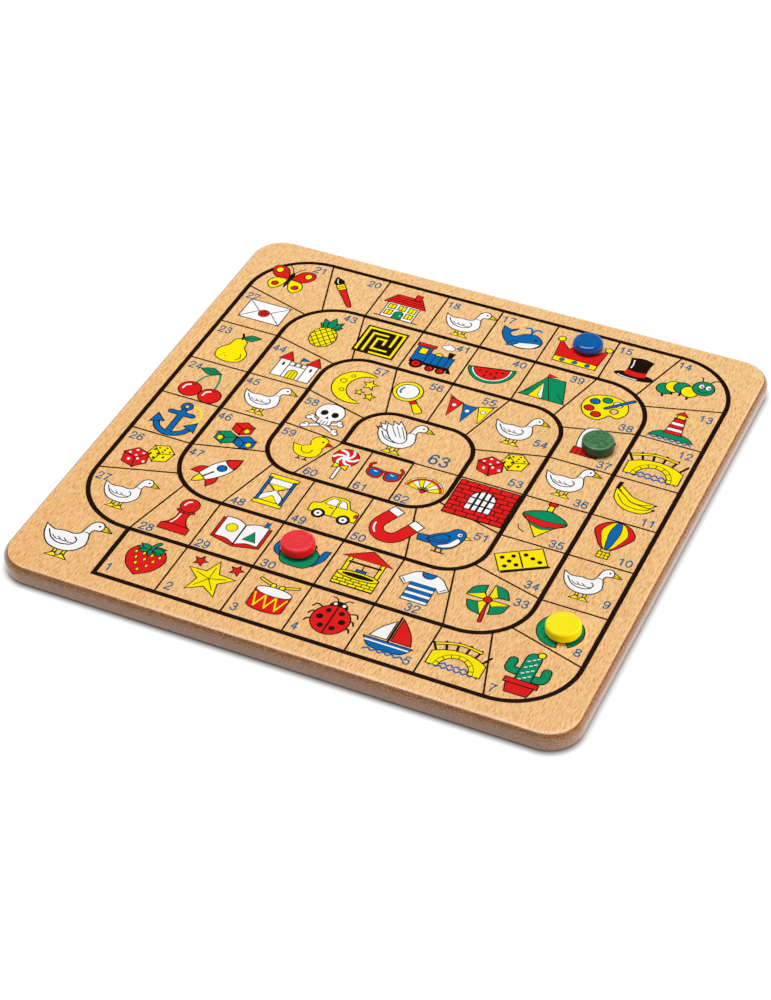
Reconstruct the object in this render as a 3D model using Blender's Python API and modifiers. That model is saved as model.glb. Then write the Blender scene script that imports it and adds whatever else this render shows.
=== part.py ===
"""Square wooden race-game board and the four turned counters that stand on it. Metres, +Z up.

The board is a fibreboard core faced with beech veneer above and below. Its corners are rounded and
its rim is rounded over after gluing up, so the core shows as a brown band all round. The origin is
the middle of the face that the board lies on.
"""

import math

import bmesh
import bpy

# Board: overall side and thickness, the veneer and the glue line under it, and its two roundings
BOARD_SIDE = 0.400
BOARD_THICKNESS = 0.0145
VENEER_THICKNESS = 0.0005
GLUE_LINE = 0.0001
CORNER_RADIUS = 0.0235
RIM_ROUNDING = 0.005

# Track on the upper face: bare margin outside it, half the goal square inside it, lanes between
TRACK_MARGIN = 0.0171
GOAL_HALF_SIDE = 0.0430
LANES = 3

# Air between a counter's base and the veneer that it stands on
COUNTER_CLEARANCE = 0.0003

# Each counter's sizes, the column and row of its space counted from the middle of the board,
# how far it stands from the middle of that space, and its lacquer
COUNTERS = {
    "red_counter": {
        "diameter": 0.0230,
        "height": 0.0072,
        "shoulder": 0.0026,
        "base_edge": 0.0026,
        "space": (-1, -3),
        "offset": (-0.0023, 0.0039),
        "colour": (0.72, 0.022, 0.030),
        "roughness": 0.38,
    },
    "blue_counter": {
        "diameter": 0.0220,
        "height": 0.0069,
        "shoulder": 0.0032,
        "base_edge": 0.0032,
        "space": (1, 3),
        "offset": (0.0044, 0.0074),
        "colour": (0.002, 0.105, 0.420),
        "roughness": 0.15,
    },
    "green_counter": {
        "diameter": 0.0225,
        "height": 0.0073,
        "shoulder": 0.0018,
        "base_edge": 0.0018,
        "space": (2, 1),
        "offset": (0.0038, -0.0011),
        "colour": (0.040, 0.205, 0.075),
        "roughness": 0.60,
    },
    "yellow_counter": {
        "diameter": 0.0230,
        "height": 0.0070,
        "shoulder": 0.0020,
        "base_edge": 0.0020,
        "space": (3, -3),
        "offset": (0.0006, 0.0020),
        "colour": (0.930, 0.780, 0.002),
        "roughness": 0.40,
    },
}

# Finish of the board's layers: linear colour and roughness
BEECH = (0.840, 0.500, 0.225)
BEECH_ROUGHNESS = 0.50
FIBREBOARD = (0.300, 0.175, 0.110)
FIBREBOARD_ROUGHNESS = 0.40

# Fineness of the rounded shapes
CORNER_SEGMENTS = 12
RIM_SEGMENTS = 12
TURNED_STEPS = 48
FILLET_SEGMENTS = 6
SMOOTH_ANGLE = math.radians(30)
WELD = 0.00001


def clear_scene():
    for thing in list(bpy.data.objects):
        bpy.data.objects.remove(thing, do_unlink=True)


def new_collection(name):
    collection = bpy.data.collections.new(name)
    bpy.context.scene.collection.children.link(collection)
    return collection


def finish(name, colour, roughness):
    material = bpy.data.materials.new(name)
    material.use_nodes = True
    shader = material.node_tree.nodes["Principled BSDF"]
    shader.inputs["Base Color"].default_value = (*colour, 1.0)
    shader.inputs["Roughness"].default_value = roughness
    shader.inputs["Metallic"].default_value = 0.0
    return material


def add_piece(name, mesh, material, collection):
    piece = bpy.data.objects.new(name, mesh)
    mesh.materials.append(material)
    collection.objects.link(piece)
    return piece


def rounded_panel():
    """The glued-up board as one solid: a square slab with round corners and a rounded rim."""
    slab = bmesh.new()
    bmesh.ops.create_cube(slab, size=1.0)
    bmesh.ops.scale(slab, vec=(BOARD_SIDE, BOARD_SIDE, BOARD_THICKNESS), verts=slab.verts)
    bmesh.ops.translate(slab, vec=(0.0, 0.0, BOARD_THICKNESS / 2), verts=slab.verts)
    upright = [edge for edge in slab.edges if abs(edge.verts[0].co.z - edge.verts[1].co.z) > WELD]
    bmesh.ops.bevel(
        slab,
        geom=upright,
        offset=CORNER_RADIUS,
        offset_type="OFFSET",
        segments=CORNER_SEGMENTS,
        profile=0.5,
        affect="EDGES",
    )
    # A rim rounding deeper than half the board would leave no edge between its two halves
    rounding = min(RIM_ROUNDING, BOARD_THICKNESS / 2 - VENEER_THICKNESS)
    rim = [edge for edge in slab.edges if abs(edge.verts[0].co.z - edge.verts[1].co.z) < WELD]
    bmesh.ops.bevel(
        slab,
        geom=rim,
        offset=rounding,
        offset_type="OFFSET",
        segments=RIM_SEGMENTS,
        profile=0.5,
        affect="EDGES",
    )
    return slab


def cut_away(slab, height, above):
    """Cuts the slab level at a height, drops what is above or below the cut, and closes it."""
    bmesh.ops.bisect_plane(
        slab,
        geom=slab.verts[:] + slab.edges[:] + slab.faces[:],
        plane_co=(0.0, 0.0, height),
        plane_no=(0.0, 0.0, 1.0),
        clear_outer=above,
        clear_inner=not above,
    )
    open_edges = [edge for edge in slab.edges if edge.is_boundary]
    bmesh.ops.contextual_create(slab, geom=open_edges)


def board_layer(name, bottom, top, material, collection):
    """The part of the rounded panel that lies between two heights."""
    slab = rounded_panel()
    if bottom > 0.0:
        cut_away(slab, bottom, above=False)
    if top < BOARD_THICKNESS:
        cut_away(slab, top, above=True)
    bmesh.ops.recalc_face_normals(slab, faces=slab.faces)
    mesh = bpy.data.meshes.new(name)
    slab.to_mesh(mesh)
    slab.free()
    mesh.shade_smooth()
    mesh.set_sharp_from_angle(angle=SMOOTH_ANGLE)
    return add_piece(name, mesh, material, collection)


def quarter_arc(centre_x, centre_z, radius, start_degrees):
    """Points of a quarter turn, clockwise from the start angle, in the profile's plane."""
    points = []
    for step in range(FILLET_SEGMENTS + 1):
        angle = math.radians(start_degrees - 90 * step / FILLET_SEGMENTS)
        points.append((centre_x + radius * math.cos(angle), centre_z + radius * math.sin(angle)))
    return points


def counter_profile(diameter, height, shoulder, base_edge):
    """Half section of a counter, from the middle of its top down its outer side to its base."""
    radius = diameter / 2
    top = quarter_arc(radius - shoulder, height - shoulder, shoulder, 90)
    base = quarter_arc(radius - base_edge, base_edge, base_edge, 0)
    return [(0.0, height), *top, *base, (0.0, 0.0)]


def turned_counter(name, size, material, collection):
    profile = counter_profile(size["diameter"], size["height"], size["shoulder"], size["base_edge"])
    mesh = bpy.data.meshes.new(name)
    edges = [(index, index + 1) for index in range(len(profile) - 1)]
    mesh.from_pydata([(x, 0.0, z) for x, z in profile], edges, [])
    counter = add_piece(name, mesh, material, collection)
    turning = counter.modifiers.new("turned", "SCREW")
    turning.axis = "Z"
    turning.angle = math.tau
    turning.steps = TURNED_STEPS
    turning.render_steps = TURNED_STEPS
    turning.use_smooth_shade = True
    turning.use_merge_vertices = True
    turning.merge_threshold = WELD
    return counter


def grid_line(index):
    """Distance from the board's middle to a line of the track's grid, counted from the middle."""
    if index == 0:
        return 0.0
    track_half_side = BOARD_SIDE / 2 - TRACK_MARGIN
    lane_width = (track_half_side - GOAL_HALF_SIDE) / LANES
    return math.copysign(GOAL_HALF_SIDE + (abs(index) - 1) * lane_width, index)


def space_middle(index):
    """Middle of the column or row of spaces between a grid line and the next one up."""
    return (grid_line(index) + grid_line(index + 1)) / 2


def build():
    clear_scene()
    board = new_collection("race_game_board")

    core_bottom = VENEER_THICKNESS + GLUE_LINE
    core_top = BOARD_THICKNESS - core_bottom
    veneer_seat = BOARD_THICKNESS - VENEER_THICKNESS
    board_layer("board_core", core_bottom, core_top,
                finish("fibreboard", FIBREBOARD, FIBREBOARD_ROUGHNESS), board)
    board_layer("top_veneer", veneer_seat, BOARD_THICKNESS,
                finish("beech_top", BEECH, BEECH_ROUGHNESS), board)
    board_layer("bottom_veneer", 0.0, VENEER_THICKNESS,
                finish("beech_bottom", BEECH, BEECH_ROUGHNESS), board)

    # The counters stand on this empty, which lies on the upper face
    playing_face = bpy.data.objects.new("playing_face", None)
    playing_face.location.z = BOARD_THICKNESS
    board.objects.link(playing_face)
    for name, size in COUNTERS.items():
        lacquer = finish(name.replace("counter", "lacquer"), size["colour"], size["roughness"])
        counter = turned_counter(name, size, lacquer, board)
        counter.parent = playing_face
        column, row = size["space"]
        counter.location = (
            space_middle(column) + size["offset"][0],
            space_middle(row) + size["offset"][1],
            COUNTER_CLEARANCE,
        )


build()
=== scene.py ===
"""Looks of the wooden race-game board: veneer, fibreboard rim, screen print and lacquered counters.

The frame and the pieces are in metres. The print is drawn in millimetres, seen from above, with
the origin in the middle of the board, x to the right and y to the back.
"""

import math

import bmesh
import bpy
import numpy as np
from mathutils import Color, Matrix, Vector, noise
from mathutils.geometry import delaunay_2d_cdt


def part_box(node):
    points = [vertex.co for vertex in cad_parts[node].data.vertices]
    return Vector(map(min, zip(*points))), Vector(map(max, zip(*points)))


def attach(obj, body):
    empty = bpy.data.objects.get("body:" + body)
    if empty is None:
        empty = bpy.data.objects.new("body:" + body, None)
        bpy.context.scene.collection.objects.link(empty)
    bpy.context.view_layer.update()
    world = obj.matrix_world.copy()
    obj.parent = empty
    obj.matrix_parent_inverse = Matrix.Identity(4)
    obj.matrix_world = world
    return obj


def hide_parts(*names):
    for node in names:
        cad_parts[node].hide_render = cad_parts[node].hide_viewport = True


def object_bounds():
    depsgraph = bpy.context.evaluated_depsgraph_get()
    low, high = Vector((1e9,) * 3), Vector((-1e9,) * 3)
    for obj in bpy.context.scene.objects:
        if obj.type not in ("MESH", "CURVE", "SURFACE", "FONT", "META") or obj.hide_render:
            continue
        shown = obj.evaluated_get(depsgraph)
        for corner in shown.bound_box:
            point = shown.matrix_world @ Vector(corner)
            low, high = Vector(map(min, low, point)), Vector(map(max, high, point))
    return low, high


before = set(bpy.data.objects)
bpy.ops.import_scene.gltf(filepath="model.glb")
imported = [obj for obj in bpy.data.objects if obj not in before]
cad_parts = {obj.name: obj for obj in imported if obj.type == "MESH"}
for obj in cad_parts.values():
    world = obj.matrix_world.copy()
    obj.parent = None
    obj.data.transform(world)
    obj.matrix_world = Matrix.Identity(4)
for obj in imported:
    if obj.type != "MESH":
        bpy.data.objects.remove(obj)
cad_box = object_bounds()

MM = 0.001
WHITE = (1.0, 1.0, 1.0, 1.0)

# Camera: where it stands, how it is turned, and its focal length in picture heights
CAMERA_PLACE = (0.5182, -1.1585, 1.0773)
CAMERA_TURN = (49.109, 0.216, 24.384)
FOCAL_HEIGHTS = 2.4606
SENSOR_HEIGHT = 36.0

# Floor: its half side, its grey, which shows only at the board's edge and deepens the shadow there
# as painted shade, its roughness, and from where to where the board's shadow fades on it, outward
# from the board's side
FLOOR_HALF_SIDE = 4.0
FLOOR_SHADOW_GREY = (0.7, 0.7, 0.7, 1.0)
FLOOR_ROUGHNESS = 0.9
SHADOW_START = -2.0 * MM
SHADOW_END = 3.0 * MM

# Surroundings: their light, and the heights between which the white horizon fades, as sines
WORLD_LIGHT = 0.1
HORIZON_START = 0.21
HORIZON_END = 0.28

# Lamps: place, size, power, and whether they show as highlights
LAMPS = {
    "overhead": ((-0.2, 0.4, 1.9), (1.6, 0.8), 35.0, True),
    "right_fill": ((2.2, 0.3, 0.11), (2.4, 0.18), 36.0, False),
    "front_fill": ((0.3, -2.2, 0.5), (2.4, 0.6), 11.0, False),
    "left_fill": ((-2.2, 0.9, 0.35), (2.4, 0.6), 14.0, False),
}

# Board: the roundings of the glued-up panel, and how finely they are cut
CORNER_RADIUS = 23.5 * MM
RIM_ROUNDING = 5.0 * MM
CORNER_SEGMENTS = 24
RIM_SEGMENTS = 20
ROUND_PROFILE = 0.5
SMOOTH_ANGLE = math.radians(30)
WELD = 0.01 * MM

# Patterns of a material: the scale along each axis, the detail and the roughness of each
BEECH_PATTERNS = {
    "bands": ((55.0, 3.0, 55.0), 4.0, 0.55),
    "fibres": ((900.0, 60.0, 900.0), 2.0, 0.6),
    "streaks": ((1250.0, 180.0, 1250.0), 1.0, 0.5),
    "clouds": ((170.0, 70.0, 170.0), 2.0, 0.5),
}
FIBREBOARD_PATTERNS = {
    "felt": ((350.0, 350.0, 900.0), 5.0, 0.65),
    "specks": ((900.0, 900.0, 1600.0), 2.0, 0.5),
    "patches": ((40.0, 40.0, 120.0), 3.0, 0.5),
}
LACQUER_PATTERNS = {
    "clouds": ((320.0, 320.0, 320.0), 3.0, 0.5),
    "scuffs": ((900.0, 900.0, 900.0), 4.0, 0.7),
    "peel": ((700.0, 700.0, 700.0), 2.0, 0.5),
}
INK_PATTERNS = {
    "fibres": ((700.0, 50.0, 700.0), 3.0, 0.6),
    "clouds": ((120.0, 120.0, 120.0), 3.0, 0.5),
}

# Layers of colour over a ground: the pattern, the values of it between which the layer comes in,
# how strong it gets, and its colour as it looks on a screen
BEECH_GROUND = (251, 203, 131)
BEECH_LAYERS = (
    ("bands", 0.32, 0.68, 1.0, (244, 187, 111)),
    ("clouds", 0.4, 0.62, 0.7, (253, 192, 131)),
    # painted light: the veneer grows paler toward the back
    ("painted_light_to_the_back", -0.15, 0.17, 0.3, (246, 222, 170)),
    ("streaks", 0.5, 0.66, 0.55, (255, 220, 164)),
    ("streaks", 0.5, 0.34, 0.5, (224, 154, 90)),
    ("short_flecks", 0.0, 1.0, 0.45, (212, 142, 74)),
    ("long_flecks", 0.0, 1.0, 0.8, (198, 122, 54)),
    # the rounded rim: partly sanded paler, partly a painted highlight
    ("sanded_rim_and_painted_highlight", 0.1, 1.0, 0.7, (248, 206, 160)),
)
FIBREBOARD_GROUND = (134, 82, 44)
FIBREBOARD_LAYERS = (
    ("felt", 0.3, 0.7, 1.0, (176, 118, 68)),
    ("patches", 0.4, 0.65, 0.4, (152, 106, 72)),
    ("specks", 0.55, 0.68, 0.8, (84, 50, 28)),
    ("specks", 0.43, 0.3, 0.8, (206, 158, 106)),
)

# Ray flecks of the beech: their spacing across and along, half width and half length, the shares of
# these between which a fleck fades in, and how its strength follows from its chance
LONG_FLECKS = (2.3 * MM, 6.0 * MM, 0.42 * MM, 2.4 * MM)
SHORT_FLECKS = (1.5 * MM, 3.2 * MM, 0.26 * MM, 1.3 * MM)
FLECK_FADE = (1.0, 0.35)
FLECK_STRENGTH = (0.0, 0.8, 0.15, 1.0)

# Roughness of a material: the values of a pattern between which it changes, and what it is at each
BEECH_ROUGHNESS = (0.3, 0.8, 0.3, 0.42)
FIBREBOARD_ROUGHNESS = (0.3, 0.7, 0.3, 0.45)
INK_ROUGHNESS = (0.3, 0.8, 0.4, 0.52)
# Relief of a material: how strong and how deep it is
BEECH_RELIEF = (0.12, 0.05 * MM)
FIBREBOARD_RELIEF = (0.25, 0.1 * MM)
LACQUER_RELIEF = (1.0, 0.04 * MM)
INK_RELIEF = (0.1, 0.04 * MM)

# Track: half sides of the nested squares that its lanes follow, the roundings of its turns and their
# fineness, where the start line is, how wide the corner spaces are at their inner ends, the lines of
# the last turn and the home row, the widths of the track's line and the lines between spaces, and
# how far the stretches of the track's line run into each other, as a share of its half width
GRID = (0.0, 43.0, 89.6, 136.25, 182.9)
TURN_RADII = (46.0, 38.5, 28.5, 25.0)
TURN_STEPS = 18
START_LINE = -133.2
CORNER_SPACE_MOUTHS = (12.2, 13.0, 15.5)
LAST_TURN_LINES = (47.0, 29.5)
HOME_ROW_LINES = (-20.3, 9.7)
TRACK_LINE = 3.35
SPACE_LINE = 1.24
JOIN_OVERLAP = 0.02

# Runs of the track between its corners: how many make one lap, the first, the one in the second lap
# that begins at the start line, the last, and the shortest space that a line may cut off
LAP = 4
FIRST_RUN = 1
RUN_PAST_START = 5
LAST_RUN = 13
LEAST_SPACE = 1.0

# Numbers: their height, how far they stand from the corner of their space, further off at a slanting
# line, the spaces that have them at their far end, and the spaces that have none
NUMBER_HEIGHT = 7.4
GOAL_NUMBER_HEIGHT = 11.0
NUMBER_INSET = 8.3
SLANT_ROOM = 3.2
NUMBER_AT_FAR_END = (5, 12, 13, 14, 15, 16, 17, 18, 33, 51)
UNNUMBERED = (6, 16, 19, 25, 31, 42, 52)
# How far the numbers of each run stand off that place, along the run and inward, and how far some
# stand further off, to the right and to the back
NUMBER_SHIFTS = (
    (-2.2, 0.4), (-1.0, 1.1), (1.0, 0.3), (-0.7, 0.5), (-1.0, -2.0), (-1.8, 1.0), (0.6, -1.0),
    (-0.9, -0.8), (-1.4, -1.7), (0.0, 1.3), (0.6, 0.2), (0.0, 0.0), (-1.3, -2.0),
)
ODD_NUMBERS = {
    4: (-0.8, 0.0), 5: (2.8, 0.0), 7: (-5.8, 0.2), 8: (1.6, 0.8), 9: (2.9, 5.0), 11: (0.2, -0.8),
    12: (0.0, 0.8), 14: (-3.4, 0.0), 21: (2.0, -0.6), 23: (0.0, -1.0), 27: (0.6, 1.2), 28: (-0.8, 0.0),
    30: (0.8, 0.0), 32: (15.7, 0.0), 33: (-1.0, 0.0), 35: (0.0, -1.0), 38: (-1.2, -5.0), 43: (0.6, 0.8),
    44: (0.1, -2.0), 47: (-0.8, 1.4), 48: (-1.0, 0.0), 51: (-1.2, 0.6), 54: (-1.4, 1.8),
}

# Pictures: how far each stands from the middle of its space, away from its number. The odd ones
# are moved to the right and to the back by two distances, and have a size of their own.
PICTURE_SHIFT = 2.0
CORNER_PICTURE_PLACE = 0.64
ODD_PICTURES = {
    2: (1, 0.5, 1), 6: (-4.5, 0, 0.9), 7: (0, -1.5, 1.1), 8: (1, 0.5, 0.95), 12: (2, -1, 0.97),
    13: (0, -2.5, 0.92), 14: (-2, -1, 1.05), 15: (-3, -0.5, 0.9), 16: (0, 0.5, 1.05), 20: (-2, 0, 1),
    21: (-6, 1, 1), 24: (0, -2, 1.06), 25: (0, 0, 1.1), 26: (0, 3, 1), 28: (2.5, 0, 1), 30: (-1, -1, 0.95),
    31: (-1, 0, 1.08), 32: (-4.5, 1, 0.95), 34: (0.5, 4, 1), 35: (0, 0, 1.05), 38: (-1, 1, 1.02),
    39: (-3, 0, 0.95), 42: (2, 0.5, 1), 44: (3, -2, 0.92), 45: (-1.5, 0, 1), 46: (0, 3.5, 0.95),
    47: (-1, -1, 1), 48: (2, 0.5, 0.92), 49: (1, 1.5, 0.98), 51: (-2, -1, 0.95), 52: (2.2, 0, 1.08),
    55: (1, 1, 0.9), 56: (2, 0, 1), 57: (0, -1, 1.06), 58: (0, -1, 0.95), 59: (-2, -0.5, 0.84),
    60: (4, 0, 0.92), 61: (-1, 0, 0.84), 62: (-2, 1, 0.66),
}
GOAL_PICTURE = (-10.0, 19.5, 1.05)
GOAL_NUMBER = (24.3, 8.9)
START_PICTURE = (-164.0, -161.0, 1.2)

# Print: thickness of the ink film, how far it soaks into the veneer, the width of an outline, how
# much wider a drawn line prints, the arc of a round end in degrees, the drawing's fineness, how far
# a sharp corner may reach, and how near two points count as one
INK_FILM = 0.05 * MM
INK_SOAK = 0.02 * MM
OUTLINE = 0.6
LINE_GAIN = 0.2
ROUND_END = (30.0, 150.0)
CURVE_STEPS = 6
ARC_STEP = 12.0
MITRE_LIMIT = 2.0
CLOSE = 0.0001

# Inks, as they look on a screen, and the wood that shows through them in part where they are thin,
# between two values of each pattern
INKS = {
    "black": (26, 6, 0),
    "white": (252, 251, 252),
    "red": (226, 24, 24),
    "yellow": (255, 234, 0),
    "green": (0, 142, 96),
    "blue": (0, 104, 178),
    "slate": (6, 102, 146),
}
WOOD_UNDER_INK = (200, 150, 100)
SHOWING_THROUGH = 0.14
THIN_INK = 0.8
THIN_FIBRES = (0.4, 0.75)
THIN_CLOUDS = (0.3, 0.7)

# Counters: how far the shoulder and the base edge are rounded, how deep the top is hollowed or,
# below zero, how high it is crowned, and the lacquer: its colour on the side, darker as painted shade,
# and on the top, the colour where it is worn, how rough it is, how much it shines, how much clear coat
# lies over it, how worn it is all over and along its upper edge, and how deep the turning marks are
LACQUERS = {
    "red": {"rounding": 2.6, "hollow": 0.12, "side": (222, 8, 14), "top": (234, 42, 50),
            "worn": (246, 110, 116), "roughness": 0.32, "shine": 0.25, "coat": 0.0,
            "wear": 0.35, "edge_wear": 0.1, "marks": 0.8},
    "blue": {"rounding": 3.2, "hollow": -0.5, "side": (4, 64, 148), "top": (0, 90, 168),
             "worn": (30, 116, 200), "roughness": 0.3, "shine": 0.03, "coat": 1.0,
             "wear": 0.2, "edge_wear": 0.0, "marks": 0.05},
    "green": {"rounding": 1.8, "hollow": 0.12, "side": (18, 58, 32), "top": (44, 104, 58),
              "worn": (112, 164, 118), "roughness": 0.28, "shine": 0.45, "coat": 0.0,
              "wear": 0.85, "edge_wear": 0.35, "marks": 0.5},
    "yellow": {"rounding": 2.0, "hollow": 0.3, "side": (255, 222, 0), "top": (255, 238, 0),
               "worn": (255, 244, 90), "roughness": 0.34, "shine": 0.15, "coat": 0.0,
               "wear": 0.12, "edge_wear": 0.1, "marks": 0.15},
}
# How much rougher scuffed lacquer is, between which values of two patterns it is worn in patches and
# scuffed, the fineness of the turning marks, the depth of the fine orange peel, and between which
# distances from the upper edge the rubbing fades
SCUFFED = 0.12
WORN_CLOUDS = (0.38, 0.64)
WORN_SCUFFS = (0.35, 0.65)
SCUFF_RANGE = (0.3, 0.7)
MARK_SCALE = 900.0
PEEL = 0.15
RUBBED_NEAR = 0.1 * MM
RUBBED_FAR = 0.8 * MM
# Where the side's painted shade ends and the top's colour begins, down from the top, and where the
# edge is rubbed, in from the side, as shares of the rounding
SHADED_SIDE_END = 0.6
TOP_START = 0.1
RUBBED_EDGE = 0.6
# Fineness of a counter, how uneven the turned wood is, and over what span
TURNED_STEPS = 96
SECTION_STEPS = 12
UNEVENNESS = 0.03 * MM
UNEVEN_SPAN = 4 * MM


# Materials


def new_material(name):
    material = bpy.data.materials.new(name)
    material.use_nodes = True
    return material, material.node_tree, material.node_tree.nodes["Principled BSDF"]


def add_node(tree, kind, inputs=None, **settings):
    """A node with its settings, and its inputs set to values or linked to other nodes' outputs."""
    node = tree.nodes.new(kind)
    for name, value in settings.items():
        setattr(node, name, value)
    for socket, value in (inputs or {}).items():
        connect(tree, value, node.inputs[socket])
    return node


def connect(tree, value, socket):
    if isinstance(value, bpy.types.NodeSocket):
        tree.links.new(value, socket)
    else:
        socket.default_value = value


def set_shader(tree, shader, **values):
    """Sets or links the shader's sockets. The words of a socket's name are joined by underscores."""
    for name, value in values.items():
        connect(tree, value, shader.inputs[name.replace("_", " ")])


def object_coordinates(tree):
    return add_node(tree, "ShaderNodeTexCoord").outputs["Object"]


def axis_value(tree, vector, axis):
    return add_node(tree, "ShaderNodeSeparateXYZ", {"Vector": vector}).outputs[axis]


def scaled(tree, vector, scale):
    """The coordinates multiplied by a scale along each axis, so that a pattern can be drawn out."""
    return add_node(tree, "ShaderNodeMapping", {"Vector": vector, "Scale": scale}).outputs["Vector"]


def add_patterns(tree, place, patterns):
    """A cloudy noise for each pattern, by its name."""
    values = {}
    for name, (scale, detail, roughness) in patterns.items():
        inputs = {"Vector": scaled(tree, place, scale), "Scale": 1.0, "Detail": detail,
                  "Roughness": roughness}
        values[name] = add_node(tree, "ShaderNodeTexNoise", inputs).outputs["Fac"]
    return values


def rescale(tree, value, low, high, out_low=0.0, out_high=1.0, curve="LINEAR"):
    """A value moved from one range to another and held within it."""
    inputs = {"Value": value, "From Min": low, "From Max": high, "To Min": out_low, "To Max": out_high}
    node = add_node(tree, "ShaderNodeMapRange", inputs, interpolation_type=curve)
    return node.outputs["Result"]


def combine(tree, operation, first, second):
    return add_node(tree, "ShaderNodeMath", {0: first, 1: second}, operation=operation).outputs["Value"]


def multiply(tree, first, *others):
    for other in others:
        first = combine(tree, "MULTIPLY", first, other)
    return first


def combine_vectors(tree, operation, first, second):
    node = add_node(tree, "ShaderNodeVectorMath", {0: first, 1: second}, operation=operation)
    return node.outputs["Vector"]


def vector_length(tree, vector):
    return add_node(tree, "ShaderNodeVectorMath", {0: vector}, operation="LENGTH").outputs["Value"]


def blend_colours(tree, factor, first, second):
    node = add_node(tree, "ShaderNodeMix", {"Factor": factor}, data_type="RGBA")
    connect(tree, first, node.inputs["A"])
    connect(tree, second, node.inputs["B"])
    return node.outputs["Result"]


def bumpy(tree, height, strength, depth):
    """The surface's normal, roughened by a height."""
    inputs = {"Height": height, "Strength": strength, "Distance": depth}
    return add_node(tree, "ShaderNodeBump", inputs).outputs["Normal"]


def paint(*parts):
    """A colour as it looks on a screen, 0 to 255 in each part, turned into the shader's values."""
    colour = Color([part / 255 for part in parts]).from_srgb_to_scene_linear()
    return (*colour, 1.0)


def layered(tree, ground, values, layers):
    """A ground colour with layers over it, each coming in between two values of a pattern."""
    colour = paint(*ground)
    for name, low, high, strength, tint in layers:
        factor = rescale(tree, values[name], low, high, 0.0, strength)
        colour = blend_colours(tree, factor, colour, paint(*tint))
    return colour


def fleck_mask(tree, vector, across, along, half_width, half_length):
    """Short dashes along y, one in each cell of a loose net, each of its own strength."""
    net = scaled(tree, vector, (1 / across, 1 / along, 0.0))
    cells = add_node(tree, "ShaderNodeTexVoronoi", {"Vector": net, "Scale": 1.0}, voronoi_dimensions="2D")
    offset = combine_vectors(tree, "SUBTRACT", net, cells.outputs["Position"])
    dash = scaled(tree, offset, (across / half_width, along / half_length, 0.0))
    inside = rescale(tree, vector_length(tree, dash), *FLECK_FADE)
    chance = add_node(tree, "ShaderNodeSeparateColor", {"Color": cells.outputs["Color"]}).outputs["Red"]
    return multiply(tree, inside, rescale(tree, chance, *FLECK_STRENGTH))


def beech_material(name, outer, inner):
    """Steamed beech veneer: warm pale ground, soft bands and short darker ray flecks along y.

    Paler toward the back it has painted light, and between the heights of its outer and inner face the
    rounded rim is paler, partly sanded and partly a painted highlight.
    """
    material, tree, shader = new_material(name)
    place = object_coordinates(tree)
    values = add_patterns(tree, place, BEECH_PATTERNS)
    # Painted light: the wood is made paler toward the back
    values["painted_light_to_the_back"] = axis_value(tree, place, "Y")
    values["short_flecks"] = fleck_mask(tree, place, *SHORT_FLECKS)
    values["long_flecks"] = fleck_mask(tree, place, *LONG_FLECKS)
    # The rim between the veneer's faces is paler: partly sanded, partly a painted highlight
    values["sanded_rim_and_painted_highlight"] = rescale(tree, axis_value(tree, place, "Z"), outer, inner)
    relief = combine(tree, "SUBTRACT", values["fibres"], values["long_flecks"])
    set_shader(tree, shader, Base_Color=layered(tree, BEECH_GROUND, values, BEECH_LAYERS),
               Roughness=rescale(tree, values["fibres"], *BEECH_ROUGHNESS),
               Specular_IOR_Level=0.5, Normal=bumpy(tree, relief, *BEECH_RELIEF))
    return material


def fibreboard_material():
    """Sanded fibreboard under clear lacquer: felted brown fibres with dark and pale specks."""
    material, tree, shader = new_material("fibreboard")
    values = add_patterns(tree, object_coordinates(tree), FIBREBOARD_PATTERNS)
    set_shader(tree, shader, Base_Color=layered(tree, FIBREBOARD_GROUND, values, FIBREBOARD_LAYERS),
               Roughness=rescale(tree, values["felt"], *FIBREBOARD_ROUGHNESS), Coat_Weight=1.0,
               Coat_Roughness=0.12, Normal=bumpy(tree, values["felt"], *FIBREBOARD_RELIEF))
    return material


def lacquer_wear(tree, values, finish, upper, off_edge):
    """How worn a counter's lacquer is: in patches on the top, and rubbed along the upper edge."""
    patchy = multiply(tree, rescale(tree, values["clouds"], *WORN_CLOUDS),
                      rescale(tree, values["scuffs"], *WORN_SCUFFS))
    rubbed = rescale(tree, off_edge, RUBBED_FAR, RUBBED_NEAR)
    return combine(tree, "MAXIMUM", multiply(tree, patchy, upper, finish["wear"]),
                   multiply(tree, rubbed, upper, finish["edge_wear"]))


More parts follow.
